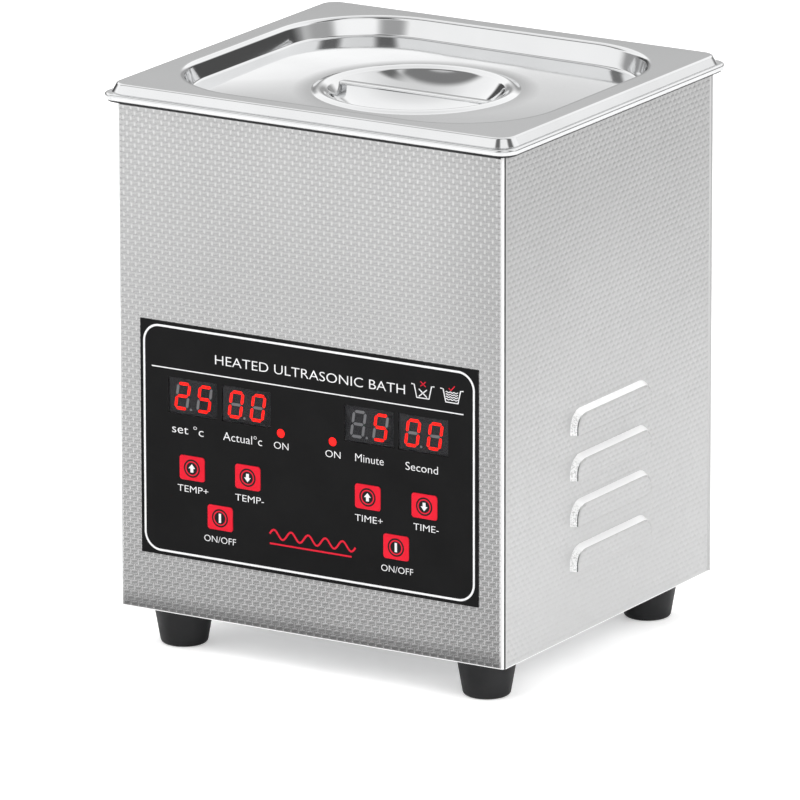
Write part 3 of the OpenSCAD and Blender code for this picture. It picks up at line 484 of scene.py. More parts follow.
def bridge(loops, close_first=False, close_last=False):
    """Points and faces of a skin through loops that all have the same number of points."""
    count = len(loops[0])
    points = [p for loop in loops for p in loop]
    faces = []
    for k in range(len(loops) - 1):
        a, b = k * count, (k + 1) * count
        for i in range(count):
            j = (i + 1) % count
            faces.append((a + i, a + j, b + j, b + i))
    if close_first:
        faces.append(tuple(reversed(range(count))))
    if close_last:
        faces.append(tuple(range((len(loops) - 1) * count, len(loops) * count)))
    return points, faces


def arc(x, z, radius, first, last, steps=8):
    """Points of an arc in a section, from the first angle to the last."""
    out = []
    for i in range(steps + 1):
        a = math.radians(first + (last - first) * i / steps)
        out.append((x + radius * math.cos(a), z + radius * math.sin(a)))
    return out


def offset_loop(length, width, corner, offset, z):
    """Loop grown outwards by an offset, as a section carried round the outline."""
    return plan_loop(length + 2 * offset, width + 2 * offset, corner + offset, z)


# ---------------------------------------------------------------- lid and tank

def node_box_mm(node):
    low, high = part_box(node)
    return low / MM, high / MM


def build_lid():
    low, high = node_box_mm("lid")
    top = high.z
    length, width = high.x - low.x, high.y - low.y
    rim = node_box_mm("tank")[1].z
    corner, skirt_lean = 8.0, 1.95
    recess = (150.0, 136.0, 38.0)
    depth, wall_lean, dish, tilt = 8.0, 1.4, 0.3, 0.009
    floor = top - depth
    bowl_radius, bowl_depth = 33.0, 12.0
    loops = []
    skirt = [(0.0, rim), (-0.15, rim + 0.3)]
    roll = arc(-skirt_lean - 0.6, top - 1.0, 1.0, 20, 90, 8)
    for offset, z in skirt + roll:
        loops.append(offset_loop(length, width, corner, offset, z))
    loops.append(offset_loop(length, width, corner, -skirt_lean - 1.0, top))
    loops.append(offset_loop(*recess, 2.6, top))
    section = arc(1.9, top - 1.9, 1.9, 90, 168, 8)
    foot = 1.2
    section += [(x, z + dish) for x, z in arc(-wall_lean - foot, floor + foot, foot, -12, -90, 10)]
    for offset, z in section:
        share = min(1.0, (top - z) / (depth - dish))
        loops.append([(x, y, z - tilt * share * x) for x, y, z in offset_loop(*recess, offset, z)])
    ring = bowl_radius + 3.0
    edge_loop = offset_loop(*recess, -wall_lean - 2.0, floor)
    hub_loop = circle_loop(ring + 3.0, floor)
    for i in range(11):
        part = (i / 10) ** 1.2
        rise = dish * (1 - part) ** 2
        places = [(a[0] + (b[0] - a[0]) * part, a[1] + (b[1] - a[1]) * part)
                  for a, b in zip(edge_loop, hub_loop)]
        loops.append([(x, y, floor + rise - tilt * (1 - part) * x) for x, y in places])
    for i in range(9):
        part = i / 8
        r = ring + 2.7 - 5.4 * part
        loops.append(circle_loop(r, floor + 0.85 * math.sin(math.pi * part) ** 1.2))
    for i in range(30):
        r = bowl_radius * (1 - (i / 30) ** 1.5) + 0.1
        loops.append(circle_loop(r, floor - bowl_depth * (1 - (min(r, bowl_radius) / bowl_radius) ** 3)))
    lid = make_piece("lid_pressing", *bridge(loops, close_last=True), LID_STEEL, "lid")
    thicken(lid, 0.7)
    weigh_normals(lid)
    stand_in("lid")


def build_handle_bar():
    """Bar across the bowl: rounded strip that sinks into the bowl's side at each end."""
    low, high = node_box_mm("lid_handle_bar")
    half = (high.x - low.x) / 2 - 0.1
    z = (low.z + high.z) / 2
    rings = []
    stations = [-1.0, -0.985, -0.95, -0.9, -0.6, -0.2, 0.2, 0.6, 0.9, 0.95, 0.985, 1.0]
    for s in stations:
        flare = max(0.0, abs(s) - 0.9) / 0.1
        wide = 2.25 + 0.05 * flare
        thick = 0.62
        loop = []
        for i in range(24):
            a = 2 * math.pi * i / 24
            c, d = math.cos(a), math.sin(a)
            y = wide * math.copysign(abs(c) ** 0.45, c)
            h = thick * math.copysign(abs(d) ** 0.7, d)
            loop.append((s * half * (1 - 0.004 * (y / wide) ** 2), y, z + h))
        rings.append(loop)
    bar = make_piece("lid_handle", *bridge(rings, True, True), POLISHED, "lid")
    weigh_normals(bar)
    stand_in("lid_handle_bar")


def build_tank():
    low, high = node_box_mm("tank")
    top = high.z
    length, width = high.x - low.x, high.y - low.y
    basin = (153.0, 139.0, 34.0)
    floor = low.z + 0.8
    corner, drop = 7.0, 2.1
    loops = []
    for offset, z in [(0.0, top - drop), (0.0, top - drop + 0.25)] + arc(-0.9, top - 0.9, 0.9, 0, 90, 8):
        loops.append(offset_loop(length, width, corner, offset, z))
    loops.append(offset_loop(length, width, corner, -1.4, top))
    loops.append(offset_loop(*basin, 3.6, top))
    section = arc(3.0, top - 3.0, 3.0, 90, 180, 8) + arc(-10.0, floor + 10.0, 10.0, 0, -90, 12)
    loops += [offset_loop(*basin, offset, z) for offset, z in section]
    loops.append(offset_loop(*basin, -20.0, floor))
    tank = make_piece("tank_pressing", *bridge(loops, close_last=True), BASIN, "cleaner")
    thicken(tank, 0.75)
    weigh_normals(tank)
    stand_in("tank")


def build_feet():
    low, high = node_box_mm("feet")
    reach = 11.8
    x, y = high.x - reach, high.y - reach
    top = high.z
    section = [(5.0, 6.0), (5.0, 0.5), (5.4, 0.05)]
    section += arc(7.4, 1.6, 1.6, -90, -8, 8)
    section += [(reach - 0.35, top - 1.6), (reach - 0.1, top - 0.6), (reach - 0.3, top)]
    loops = [circle_loop(r, z, 14) for r, z in section]
    points, faces = bridge(loops, True, True)
    all_points, all_faces = [], []
    for sx in (-1, 1):
        for sy in (-1, 1):
            base = len(all_points)
            all_points += [(p[0] + sx * x, p[1] + sy * y, p[2]) for p in points]
            all_faces += [tuple(base + i for i in f) for f in faces]
    feet = make_piece("rubber_feet", all_points, all_faces, RUBBER, "cleaner")
    weigh_normals(feet)
    stand_in("feet")


# ---------------------------------------------------------------- embossed sheet

CELL_LENGTH, CELL_HEIGHT, CELL_RISE = 3.3, 2.05, 0.10
CELL_GROOVE = (0.36, 0.18)
CELL_CUT = 0.40
SKIN_DEPTH = 0.16


def cell_rings(u, v, w, h):
    """Outline of one cell on the sheet, and outline of its raised top, as eight points each."""
    base = [(u, v), (u + w / 2, v), (u + w, v), (u + w, v + h / 2),
            (u + w, v + h), (u + w / 2, v + h), (u, v + h), (u, v + h / 2)]
    a, b = w / 2 - CELL_GROOVE[0], h / 2 - CELL_GROOVE[1]
    c = CELL_CUT
    cu, cv = u + w / 2, v + h / 2
    top = [(-a + c, -b), (a - c, -b), (a, -b + c), (a, b - c),
           (a - c, b), (-a + c, b), (-a, b - c), (-a, -b + c)]
    return base, [(cu + x, cv + z) for x, z in top]


def swallowed(cell, box):
    """True if a cell lies wholly inside a box on the same wall."""
    return cell[0] >= box[0] and cell[2] <= box[2] and cell[1] >= box[1] and cell[3] <= box[3]


def step_aside(u, v, boxes):
    """The nearest place that is not inside any of the boxes on the same wall."""
    for left, low, right, high in boxes:
        if left < u < right and low < v < high:
            gaps = (u - left, right - u, v - low, high - v)
            u, v = ((left, v), (right, v), (u, low), (u, high))[gaps.index(min(gaps))]
    return u, v


def embossed_skin(name, length, height, to_place, holes, material, fit=None):
    """Closed thin sheet of half-staggered raised cells over a wall of a given size.
    to_place turns (along, up, outward) into a point, holes are boxes left free on the wall,
    and fit moves a place on the wall into an outline that isn't a box."""
    points, faces, known = [], [], {}

    def point(u, v, out):
        key = (round(u, 3), round(v, 3), round(out, 3))
        if key not in known:
            known[key] = len(points)
            u, v = fit(u, v) if fit else step_aside(u, v, holes)
            points.append(to_place(u, v, out))
        return known[key]

    edges = {}
    rows = round(height / CELL_HEIGHT)
    rise = height / rows
    columns = round(length / CELL_LENGTH)
    pitch = length / columns
    for row in range(rows):
        v = row * rise
        joints = [i * pitch - length / 2 for i in range(columns + 1)]
        if row % 2:
            joints = [joints[0]] + [j + pitch / 2 for j in joints[:-1]] + [joints[-1]]
        for u, u_end in zip(joints, joints[1:]):
            cell = (u, v, u_end, v + rise)
            if any(swallowed(cell, hole) for hole in holes):
                continue
            if fit and all(fit(x, z) != (x, z) for x in (u, u_end) for z in (v, v + rise)):
                continue
            base, top = cell_rings(u, v, u_end - u, rise)
            low = [point(x, z, 0.01) for x, z in base]
            high = [point(x, z, CELL_RISE) for x, z in top]
            back = [point(x, z, -SKIN_DEPTH) for x, z in base]
            for k in range(8):
                j = (k + 1) % 8
                faces.append((low[k], low[j], high[k]))
                faces.append((low[j], high[j], high[k]))
                edge = frozenset((low[k], low[j]))
                if edge in edges:
                    edges.pop(edge)
                else:
                    edges[edge] = (low[j], low[k], back[k], back[j])
            faces.append(tuple(high))
            faces.append(tuple(reversed(back)))
    faces += edges.values()
    skin = make_piece(name, points, faces, material, "cleaner")


LOUVRE_HALF, LOUVRE_HEIGHT, LOUVRE_ROUND, LOUVRE_LEAN = 28.7, 9.3, 7.0, 1.5
LOUVRE_FOOT, LOUVRE_PITCH, LOUVRE_COUNT = 41.4, 17.3, 4


def within_louvre(u, v):
    """The nearest place on a louvre's face, a little inside its edge."""
    radius = LOUVRE_ROUND - LOUVRE_LEAN - 0.35
    along, shoulder = LOUVRE_HALF - LOUVRE_ROUND, LOUVRE_HEIGHT - LOUVRE_ROUND
    far, high = max(abs(u) - along, 0.0), max(v - shoulder, 0.0)
    size = math.hypot(far, high)
    if size <= radius:
        return u, v
    if far:
        u = math.copysign(along + far * radius / size, u)
    if high:
        v = shoulder + high * radius / size
    return u, v


SKIN_BEND = 1.5
COVER_SCREWS = [(x, z) for x in (-76.5, 76.5) for z in (30, 112, 195)]


def build_side_skins(half_width, front, back, start, tall, face):
    """Both side walls and the faces of their louvres, which stand out to the given x."""
    feet = [LOUVRE_FOOT + LOUVRE_PITCH * i for i in range(LOUVRE_COUNT)]
    reach, hood_tall = LOUVRE_HALF - 2.5, LOUVRE_HEIGHT - 2.1
    hoods = [(-reach, foot - start, reach, foot - start + hood_tall) for foot in feet]
    for side, label in ((1, "right"), (-1, "left")):
        def on_wall(u, v, out):
            return side * (half_width + out), side * u - 0.5, start + v

        length = back - front - 1 - 2 * SKIN_BEND
        embossed_skin("embossed_" + label, length, tall, on_wall, hoods, SIDE_STEEL)
        for number, foot in enumerate(feet, 1):
            def on_louvre(u, v, out):
                return side * (face + out), side * u, foot + v

            embossed_skin("embossed_louvre_%s_%d" % (label, number), 2 * LOUVRE_HALF,
                          LOUVRE_HEIGHT, on_louvre, [], SIDE_STEEL, within_louvre)


def build_embossed_walls():
    low, high = node_box_mm("housing_shell")
    panel_low, panel_high = node_box_mm("panel_overlay")
    cover_high = node_box_mm("rear_cover")[1]
    half_width = cover_high.x
    front, back = low.y, cover_high.y
    start = low.z + 0.3
    tall = high.z - 0.95 - start

    def on_front(u, v, out):
        return u, front - out, start + v

    def on_back(u, v, out):
        return -u, back + out, start + v

    panel = (panel_low.x + 1, panel_low.z - start + 1, panel_high.x - 1, panel_high.z - start - 1)
    length = 2 * (half_width - SKIN_BEND)
    embossed_skin("embossed_front", length, tall, on_front, [panel], FRONT_STEEL)
    build_side_skins(half_width, front, back, start, tall, high.x)
    fittings = []
    for node, margin in (("fan_frame", 2), ("power_inlet", 1), ("power_switch_body", 1)):
        first, last = node_box_mm(node)
        fittings.append((-last.x - margin, first.z - start - margin,
                         -first.x + margin, last.z - start + margin))
    for x, z in COVER_SCREWS:
        fittings.append((x - 4, z - start - 4, x + 4, z - start + 4))
    embossed_skin("embossed_back", 2 * (half_width - 0.6), tall, on_back, fittings, SIDE_STEEL)


# ---------------------------------------------------------------- control panel

PANEL_FACE = node_box_mm("panel_overlay")[0].y
PRINT_RISE = 0.04


def panel_outline(points, depth=PRINT_RISE, base=PANEL_FACE):
    """Flat shape on the panel: x and z points turned into a thin printed slab."""
    n = len(points)
    front = [(x, base - depth, z) for x, z in points]
    back = [(x, base, z) for x, z in points]
    faces = [tuple(range(n)), tuple(reversed(range(n, 2 * n)))]
    for i in range(n):
        j = (i + 1) % n
        faces.append((i, n + i, n + j, j))
    return front + back, faces


def rounded_outline(cx, cz, width, height, corner, steps=10):
    """Rounded rectangle on the panel as x and z points, anticlockwise from the front."""
    out = []
    for quarter in range(4):
        sx = (width / 2 - corner) * (1 if quarter in (0, 3) else -1)
        sz = (height / 2 - corner) * (1 if quarter in (0, 1) else -1)
        for i in range(steps + 1):
            a = math.radians(90 * (quarter + i / steps))
            out.append((cx + sx + corner * math.cos(a), cz + sz + corner * math.sin(a)))
    return out


def ring_band(outer, inner, depth=PRINT_RISE, base=PANEL_FACE):
    """Closed printed band between two outlines with the same number of points."""
    n = len(outer)
    points = [(x, base - depth, z) for x, z in outer]
    points += [(x, base - depth, z) for x, z in inner]
    points += [(x, base, z) for x, z in outer]
    points += [(x, base, z) for x, z in inner]
    faces = []
    for i in range(n):
        j = (i + 1) % n
        faces.append((i, j, n + j, n + i))
        faces.append((i, 2 * n + i, 2 * n + j, j))
        faces.append((n + i, n + j, 3 * n + j, 3 * n + i))
        faces.append((2 * n + i, 3 * n + i, 3 * n + j, 2 * n + j))
    return points, faces


def stroke(points, width):
    """Printed line of even width through x and z points."""
    left, right = [], []
    for i, p in enumerate(points):
        before = points[max(0, i - 1)]
        after = points[min(len(points) - 1, i + 1)]
        dx, dz = after[0] - before[0], after[1] - before[1]
        size = math.hypot(dx, dz)
        nx, nz = -dz / size * width / 2, dx / size * width / 2
        left.append((p[0] + nx, p[1] + nz))
        right.append((p[0] - nx, p[1] - nz))
    return panel_outline(right + left[::-1])


def join_parts(parts):
    points, faces = [], []
    for p, f in parts:
        base = len(points)
        points += p
        faces += [tuple(base + i for i in face) for face in f]
    return points, faces


FONT_CAP_HEIGHT = 0.73


def lettering(text, x, z, cap_height, width):
    """Generic legend as printed mesh: left edge x, baseline z, cap height and overall width."""
    curve = bpy.data.curves.new("legend", "FONT")
    curve.body = text
    curve.size = 1.0
    curve.resolution_u = 4
    curve.offset = -0.008
    holder = bpy.data.objects.new("legend", curve)
    bpy.context.scene.collection.objects.link(holder)
    bpy.context.view_layer.update()
    flat = holder.evaluated_get(bpy.context.evaluated_depsgraph_get())
    mesh = bpy.data.meshes.new_from_object(flat)
    xs = [v.co.x for v in mesh.vertices]
    scale_x = width / (max(xs) - min(xs))
    scale_z = cap_height / FONT_CAP_HEIGHT
    points = [((v.co.x - min(xs)) * scale_x + x, PANEL_FACE - PRINT_RISE, v.co.y * scale_z + z)
              for v in mesh.vertices]
    faces = [tuple(p.vertices) for p in mesh.polygons]
    bpy.data.objects.remove(holder)
    bpy.data.meshes.remove(mesh)
    bpy.data.curves.remove(curve)
    return points, faces


def build_panel_print():
    low, high = node_box_mm("panel_overlay")
    cx, cz = (low.x + high.x) / 2, (low.z + high.z) / 2
    width, height = high.x - low.x, high.z - low.z
    line = 0.8
    outer = rounded_outline(cx, cz, width - 2.6, height - 2.6, 7.0, 12)
    inner = rounded_outline(cx, cz, width - 2.6 - 2 * line, height - 2.6 - 2 * line, 7.0 - line, 12)
    white = [ring_band(outer, inner)]
    white.append(stroke([(-67.9, 110.3), (66.1, 110.3)], 0.42))
    legends = (
        ("HEATED ULTRASONIC BATH", -40.3, 114.5, 3.8, 81.6),
        ("set °c", -59.2, 86.0, 3.5, 13.7), ("Actual°c", -37.0, 86.1, 3.4, 16.9),
        ("ON", -15.0, 86.1, 2.8, 6.3), ("ON", 7.2, 86.1, 2.8, 6.5),
        ("Minute", 20.0, 86.2, 3.2, 12.2), ("Second", 41.5, 86.1, 3.2, 13.8),
        ("TEMP+", -57.0, 63.9, 2.7, 13.4), ("TEMP-", -31.9, 63.8, 2.7, 12.5),
        ("TIME+", 19.8, 63.6, 2.7, 11.9), ("TIME-", 44.8, 63.8, 2.7, 10.8),
        ("ON/OFF", -45.5, 46.3, 2.6, 13.8), ("ON/OFF", 31.0, 46.2, 2.6, 13.7),
    )
    for text, x, z, cap, wide in legends:
        white.append(lettering(text, x, z, cap, wide))
    for centre, full in ((48.9, False), (61.2, True)):
        bowl = [(-4.9, 119.0), (-3.7, 118.9), (-2.6, 114.1), (2.6, 114.1), (3.7, 118.9), (4.9, 119.0)]
        white.append(stroke([(centre + x, z) for x, z in bowl], 0.45))
        if full:
            for z in (115.2, 116.1, 117.0, 117.9):
                wave = [(centre - 2.6 + 5.2 * i / 16, z + 0.22 * math.sin(i * 1.3)) for i in range(17)]
                white.append(stroke(wave, 0.32))
        else:
            white.append(stroke([(centre - 1.7, 117.4), (centre + 1.7, 114.6)], 0.4))
            white.append(stroke([(centre - 1.7, 114.6), (centre + 1.7, 117.4)], 0.4))
    obj = make_piece("panel_print_white", *join_parts(white), INK_WHITE, "cleaner", False)
    red = []
    wave = [(-17 + 37 * i / 72, 53.2 + 1.7 * math.sin(i / 72 * 2 * math.pi * 5)) for i in range(73)]
    red.append(stroke(wave, 0.75))
    red.append(stroke([(-17.0, 49.5), (18.3, 49.5)], 0.65))
    cross = 49.0
    red.append(stroke([(cross - 1.1, 118.5), (cross + 1.1, 120.3)], 0.35))
    red.append(stroke([(cross - 1.1, 120.3), (cross + 1.1, 118.5)], 0.35))
    red.append(stroke([(59.9, 119.4), (60.8, 118.6), (62.4, 120.4)], 0.4))
    obj = make_piece("panel_print_red", *join_parts(red), INK_RED, "cleaner", False)


ARROW = [(0, 1.7), (1.45, 0.0), (0.62, 0.0), (0.62, -1.5), (-0.62, -1.5), (-0.62, 0.0), (-1.45, 0.0)]
BAR = [(-0.5, -1.75), (0.5, -1.75), (0.5, 1.75), (-0.5, 1.75)]
KEY_SIGNS = {
    "temp_up": ARROW, "temp_down": [(x, -z) for x, z in reversed(ARROW)], "heat_on_off": BAR,
    "time_up": ARROW, "time_down": [(x, -z) for x, z in reversed(ARROW)], "timer_on_off": BAR,
}


KEY_SIZE = (11.0, 9.4)
KEY_CORNER = 1.2
SIGN_RISE = 0.02


def key_loop(cx, cz, inset, y, corner=KEY_CORNER):
    width, height = [size - 2 * inset for size in KEY_SIZE]
    out = rounded_outline(cx, cz, width, height, max(0.2, corner - inset), 8)
    return [(x, y, z) for x, z in out]


def build_key(name, sign):
    """Cap, flange and stem in one piece, with a printed disc, ring and sign on the cap."""
    body = "key_" + name
    low, high = node_box_mm(body)
    cx, cz = (low.x + high.x) / 2, (low.z + high.z) / 2
    front = low.y
    loops = [key_loop(cx, cz, 0, front + 1.7), key_loop(cx, cz, 0, front + 0.35)]
    for i in range(1, 6):
        a = math.radians(18 * i)
        loops.append(key_loop(cx, cz, 0.3 * (1 - math.cos(a)), front + 0.3 * (1 - math.sin(a))))
    loops.append(key_loop(cx, cz, 0.6, front))
    cap = bridge(loops, True, True)
    flange = [key_loop(cx, cz, -1.0, high.y - back, KEY_CORNER + 1) for back in (3.4, 2.5)]
    stem = [[(x, y, z) for x, z in circle_points(cx, cz, 1.5, 24)] for y in (high.y - 2.6, high.y)]
    parts = [cap, bridge(flange, True, True), bridge(stem, True, True)]
    key = make_piece("key_cap_" + name, *join_parts(parts), KEY_RED, body)
    weigh_normals(key)
    stand_in(body)
    disc = circle_points(cx, cz, 3.5, 48)
    outer, inner = circle_points(cx, cz, 2.85, 48), circle_points(cx, cz, 2.35, 48)
    shape = [(cx + x, cz + z) for x, z in sign]
    prints = (
        ("key_disc_", panel_outline(disc, SIGN_RISE, front), INK_BLACK),
        ("key_ring_", ring_band(outer, inner, SIGN_RISE, front - SIGN_RISE), INK_RED),
        ("key_sign_", panel_outline(shape, SIGN_RISE, front - SIGN_RISE), INK_WHITE),
    )
    for start, (points, faces), ink in prints:
        make_piece(start + name, points, faces, ink, body, False)


SEGMENTS = {"0": "abcdef", "2": "abged", "5": "afgcd", " ": ""}
DIGITS = ("25", "00", " 5", "00")


def segment_outline(which, half_width, half_height, bar):
    """One bar of a digit with mitred ends, as x and z points before slanting."""
    gap = 0.28
    flat = which in "agd"
    long = (half_width if flat else half_height / 2) - gap
    h = bar / 2
    shape = [(-long, 0), (-long + h, h), (long - h, h), (long, 0), (long - h, -h), (-long + h, -h)]
    if not flat:
        shape = [(z, x) for x, z in shape][::-1]
    cx = {"b": half_width, "c": half_width, "e": -half_width, "f": -half_width}.get(which, 0)
    cz = {"a": half_height, "d": -half_height, "b": half_height / 2, "f": half_height / 2,
          "c": -half_height / 2, "e": -half_height / 2}.get(which, 0)
    return [(cx + x, cz + z) for x, z in shape]


WINDOW_WIDTH, WINDOW_PITCH = 21.2, 23.2
DIGIT_HALF_WIDTH, DIGIT_HALF_HEIGHT, DIGIT_BAR, DIGIT_PITCH = 2.45, 4.75, 1.12, 9.5
DIGIT_SLANT = math.tan(math.radians(8))


def build_digits():
    low, high = node_box_mm("display_windows")
    middle = (low.z + high.z) / 2
    first, last = low.x + WINDOW_WIDTH / 2, high.x - WINDOW_WIDTH / 2
    centres = [first, first + WINDOW_PITCH, last - WINDOW_PITCH, last]
    plane = high.y + 0.015
    lit, unlit = [], []
    for centre, text in zip(centres, DIGITS):
        for place, mark in zip((-0.5, 0.5), text):
            cx = centre + place * DIGIT_PITCH
            for which in "abcdefg":
                shape = segment_outline(which, DIGIT_HALF_WIDTH, DIGIT_HALF_HEIGHT, DIGIT_BAR)
                shape = [(cx + x + DIGIT_SLANT * z, middle + z) for x, z in shape]
                target = lit if which in SEGMENTS[mark] else unlit
                target.append(panel_outline(shape, SIGN_RISE, plane))
            if place < 0:
                dot = circle_points(cx + 3.6, middle - DIGIT_HALF_HEIGHT, 0.5, 16)
                unlit.append(panel_outline(dot, SIGN_RISE, plane))
    for name, parts, material in (("digit_bars_lit", lit, LIT), ("digit_bars_unlit", unlit, UNLIT)):
        obj = make_piece(name, *join_parts(parts), material, "cleaner", False)
        if material is LIT:
            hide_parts("display_segments")


def build_lamps():
    low, high = node_box_mm("indicator_leds")
    radius = 1.7
    z = (low.z + high.z) / 2
    section = [(radius, PANEL_FACE + 4.0)]
    for i in range(7):
        a = math.radians(90 * i / 6)
        section.append((max(0.02, radius * math.cos(a)), low.y + 0.25 - 0.25 * math.sin(a)))
    parts = []
    for x in (low.x + radius + 0.5, high.x - radius - 0.5):
        loops = [[(px, y, pz) for px, pz in circle_points(x, z, r, 40)] for r, y in section]
        parts.append(bridge(loops, True, True))
    obj = make_piece("indicator_lamps", *join_parts(parts), LAMP, "cleaner")
    stand_in("indicator_leds")


# ---------------------------------------------------------------- stage

def build_stage():
    """Pale floor with a faint glow. Steel mirrors it without the glow, and darker where the
    mirrored ray runs forward and left and lands near the cleaner."""
    reach, z = 9000, -0.05
    points = [(-reach, -reach, z), (reach, -reach, z), (reach, reach, z), (-reach, reach, z)]
    mesh = bpy.data.meshes.new("floor")
    mesh.from_pydata([tuple(c * MM for c in p) for p in points], [], [(0, 1, 2, 3)])
    floor = bpy.data.objects.new("floor", mesh)
    bpy.context.scene.collection.objects.link(floor)
    m = Nodes("floor_paper")
    patches = m.ramp(m.noise(4.0, 3.0), 0.3, 0.7, 0.0, 1.0)
    paper = m.mix_color(patches, grey(0.90), grey(0.915))
    ahead = m.ramp(m.parts(m.place, "Object")[1], -0.75, -0.10, 0.0, 1.0)
    mirrored = m.add("ShaderNodeVectorMath", operation="DOT_PRODUCT")
    mirrored.inputs[1].default_value = (0.52, 0.855, 0.0)
    m.link(m.add("ShaderNodeNewGeometry"), "Incoming", mirrored, 0)
    left = m.ramp(mirrored.outputs["Value"], 0.80, 0.92, 0.0, 1.0)
    in_mirror = m.add("ShaderNodeLightPath").outputs["Is Glossy Ray"]
    shade = m.math("MULTIPLY", m.math("MULTIPLY", ahead, left), in_mirror)
    glow = m.math("MULTIPLY", 0.35, m.math("SUBTRACT", 1.0, in_mirror))
    m.set("Base Color", m.mix_color(m.math("MULTIPLY", shade, 0.8), paper, grey(0.10)))
    m.set("Emission Color", grey(1.0))
    m.set("Emission Strength", glow)
    m.set("Roughness", 0.9)
    m.set("Specular IOR Level", 0.0)
    mesh.materials.append(m.material)


# Sky brightness by the sine of elevation
SKY_ELEVATION = ((0.0, 0.45), (0.20, 0.46), (0.262, 0.84), (0.33, 1.38), (0.72, 1.25), (1.0, 0.95))
# Studio cards: azimuth from +Y towards +X and half width in degrees, lowest and highest sine
# of elevation, brightness
SKY_CARDS = (
    (34, 26, -0.5, 0.17, 0.10),
    (-62, 16, -0.5, 0.30, 0.10),
    (-150, 40, -0.5, 0.82, 1.30),
    (76, 12, -0.5, 0.20, 1.00),
    (122, 10, -0.5, 0.20, 0.30),
    (172, 14, -0.5, 0.45, 0.50),
    (86, 14, 0.20, 0.45, 0.50),
    (168, 14, 0.56, 0.97, 0.20),
    (84, 14, 0.50, 0.97, 0.20),
)


# Soft shade overhead: pairs where it begins and is full, along each axis of the direction
OVERHEAD_SHADE = (("Y", 0.02, -0.14), ("Y", -0.36, -0.30), ("Z", 0.45, 0.55), ("X", 0.36, 0.22))
OVERHEAD_VALUE = 0.28
CARD_BLUR, CARD_EDGE = 8, 0.04


def build_world():
    world = bpy.data.worlds.new("studio")
    bpy.context.scene.world = world
    world.use_nodes = True
    tree = world.node_tree
    tree.nodes.clear()
    place = tree.nodes.new("ShaderNodeTexCoord")
    split = tree.nodes.new("ShaderNodeSeparateXYZ")
    tree.links.new(place.outputs["Generated"], split.inputs[0])
    ramp = tree.nodes.new("ShaderNodeValToRGB")
    first, last = ramp.color_ramp.elements
    for element, (position, value) in ((first, SKY_ELEVATION[0]), (last, SKY_ELEVATION[-1])):
        element.position = position
        element.color = (*grey(value), 1)
    for position, value in SKY_ELEVATION[1:-1]:
        ramp.color_ramp.elements.new(position).color = (*grey(value), 1)
    tree.links.new(split.outputs["Z"], ramp.inputs[0])

    def smooth(source, low, high):
        node = tree.nodes.new("ShaderNodeMapRange")
        node.interpolation_type = "SMOOTHSTEP"
        node.inputs["From Min"].default_value = low
        node.inputs["From Max"].default_value = high
        tree.links.new(source, node.inputs["Value"])
        return node.outputs["Result"]

    def times(a, b):
        node = tree.nodes.new("ShaderNodeMath")
        node.operation = "MULTIPLY"
        tree.links.new(a, node.inputs[0])
        tree.links.new(b, node.inputs[1])
        return node.outputs[0]

    def vector_math(operation, source, second=None):
        node = tree.nodes.new("ShaderNodeVectorMath")
        node.operation = operation
        if second:
            node.inputs[1].default_value = second
        tree.links.new(source, node.inputs[0])
        return node

    def lay_over(color, mask, value):
        mix = tree.nodes.new("ShaderNodeMix")
        mix.data_type = "RGBA"
        tree.links.new(mask, mix.inputs[0])
        tree.links.new(color, mix.inputs[6])
        mix.inputs[7].default_value = (*grey(value), 1)
        return mix.outputs[2]

    level = vector_math("MULTIPLY", place.outputs["Generated"], (1, 1, 0)).outputs["Vector"]
    heading = vector_math("NORMALIZE", level).outputs["Vector"]
    color = ramp.outputs["Color"]
    for azimuth, half, low, high, value in SKY_CARDS:
        angle = math.radians(azimuth)
        towards = vector_math("DOT_PRODUCT", heading, (math.sin(angle), math.cos(angle), 0))
        across = smooth(towards.outputs["Value"], math.cos(math.radians(half + CARD_BLUR)),
                        math.cos(math.radians(max(half - CARD_BLUR, 2))))
        rise = smooth(split.outputs["Z"], low - CARD_EDGE, low + CARD_EDGE)
        fall = smooth(split.outputs["Z"], high + CARD_EDGE, high - CARD_EDGE)
        color = lay_over(color, times(across, times(rise, fall)), value)
    edges = [smooth(split.outputs[axis], begin, full) for axis, begin, full in OVERHEAD_SHADE]
    overhead = times(times(edges[0], edges[1]), times(edges[2], edges[3]))
    color = lay_over(color, overhead, OVERHEAD_VALUE)
    back = tree.nodes.new("ShaderNodeBackground")
    back.inputs["Strength"].default_value = 0.85
    tree.links.new(color, back.inputs["Color"])
    out = tree.nodes.new("ShaderNodeOutputWorld")
    tree.links.new(back.outputs[0], out.inputs[0])


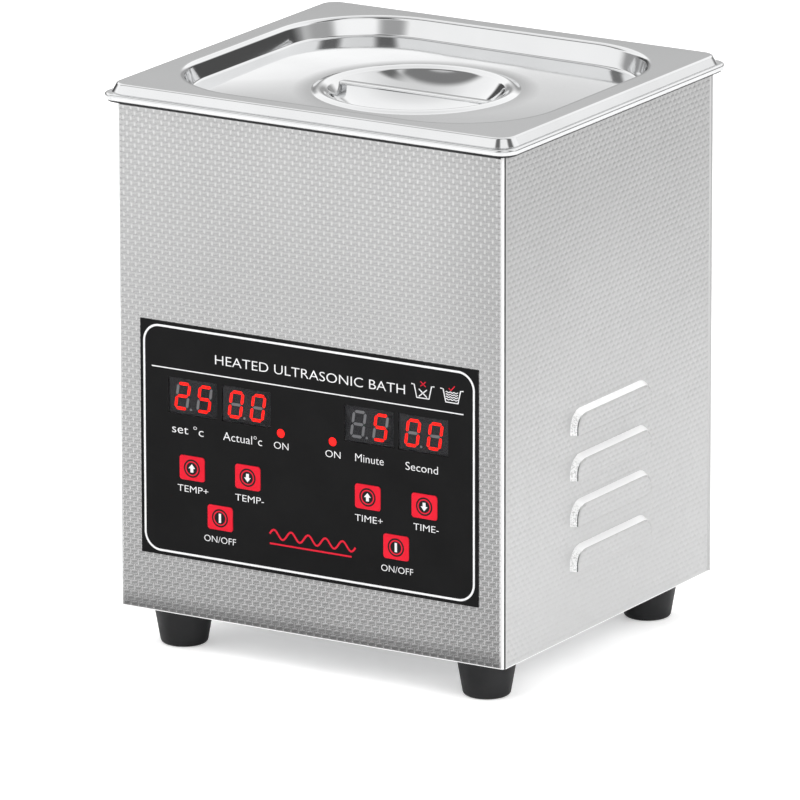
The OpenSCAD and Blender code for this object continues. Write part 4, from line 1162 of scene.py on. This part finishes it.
def area_light(name, position, target, size, power):
    data = bpy.data.lights.new(name, "AREA")
    data.shape = "RECTANGLE"
    data.size, data.size_y = size
    data.energy = power
    obj = bpy.data.objects.new(name, data)
    bpy.context.scene.collection.objects.link(obj)
    obj.visible_glossy = False
    obj.location = position
    obj.rotation_mode = "QUATERNION"
    obj.rotation_quaternion = (Vector(target) - Vector(position)).to_track_quat("-Z", "Y")


def build_lights():
    area_light("key_light", (-1.1, -1.3, 1.9), (0, 0, 0.1), (1.4, 1.0), 22)
    area_light("side_light", (2.0, 0.3, 1.2), (0, 0, 0.1), (1.0, 1.6), 14)
    area_light("top_light", (0.2, 0.6, 2.2), (0, 0, 0.2), (1.6, 1.2), 16)


# Camera fitted to the photograph: angles in degrees, position in metres, focal length in
# pixels of an 800-pixel frame
CAMERA_AZIMUTH, CAMERA_ELEVATION, CAMERA_ROLL = 31.2133, 15.3523, -0.1055
CAMERA_PLACE = (2.02844, -3.35946, 1.16595)
CAMERA_FOCAL, FRAME_WIDTH = 10930.44, 800


def build_camera():
    azimuth, elevation = math.radians(CAMERA_AZIMUTH), math.radians(CAMERA_ELEVATION)
    roll = math.radians(CAMERA_ROLL)
    back = Vector((math.sin(azimuth) * math.cos(elevation),
                   -math.cos(azimuth) * math.cos(elevation), math.sin(elevation)))
    level = Vector((math.cos(azimuth), math.sin(azimuth), 0))
    above = back.cross(level)
    right = level * math.cos(roll) + above * math.sin(roll)
    up = above * math.cos(roll) - level * math.sin(roll)
    data = bpy.data.cameras.new("camera")
    data.sensor_width = 36.0
    data.lens = 36.0 * CAMERA_FOCAL / FRAME_WIDTH
    data.clip_start, data.clip_end = 0.1, 100.0
    camera = bpy.data.objects.new("camera", data)
    bpy.context.scene.collection.objects.link(camera)
    rotation = Matrix((right, up, back)).transposed().to_4x4()
    camera.matrix_world = Matrix.Translation(Vector(CAMERA_PLACE)) @ rotation
    bpy.context.scene.camera = camera


dress_frame()
build_lid()
build_handle_bar()
build_tank()
build_feet()
build_embossed_walls()
build_panel_print()
for key_name, key_sign in KEY_SIGNS.items():
    build_key(key_name, key_sign)
build_digits()
build_lamps()
build_stage()
build_world()
build_lights()
build_camera()
bpy.context.scene.view_settings.view_transform = "Standard"
bpy.context.scene.view_settings.look = "None"
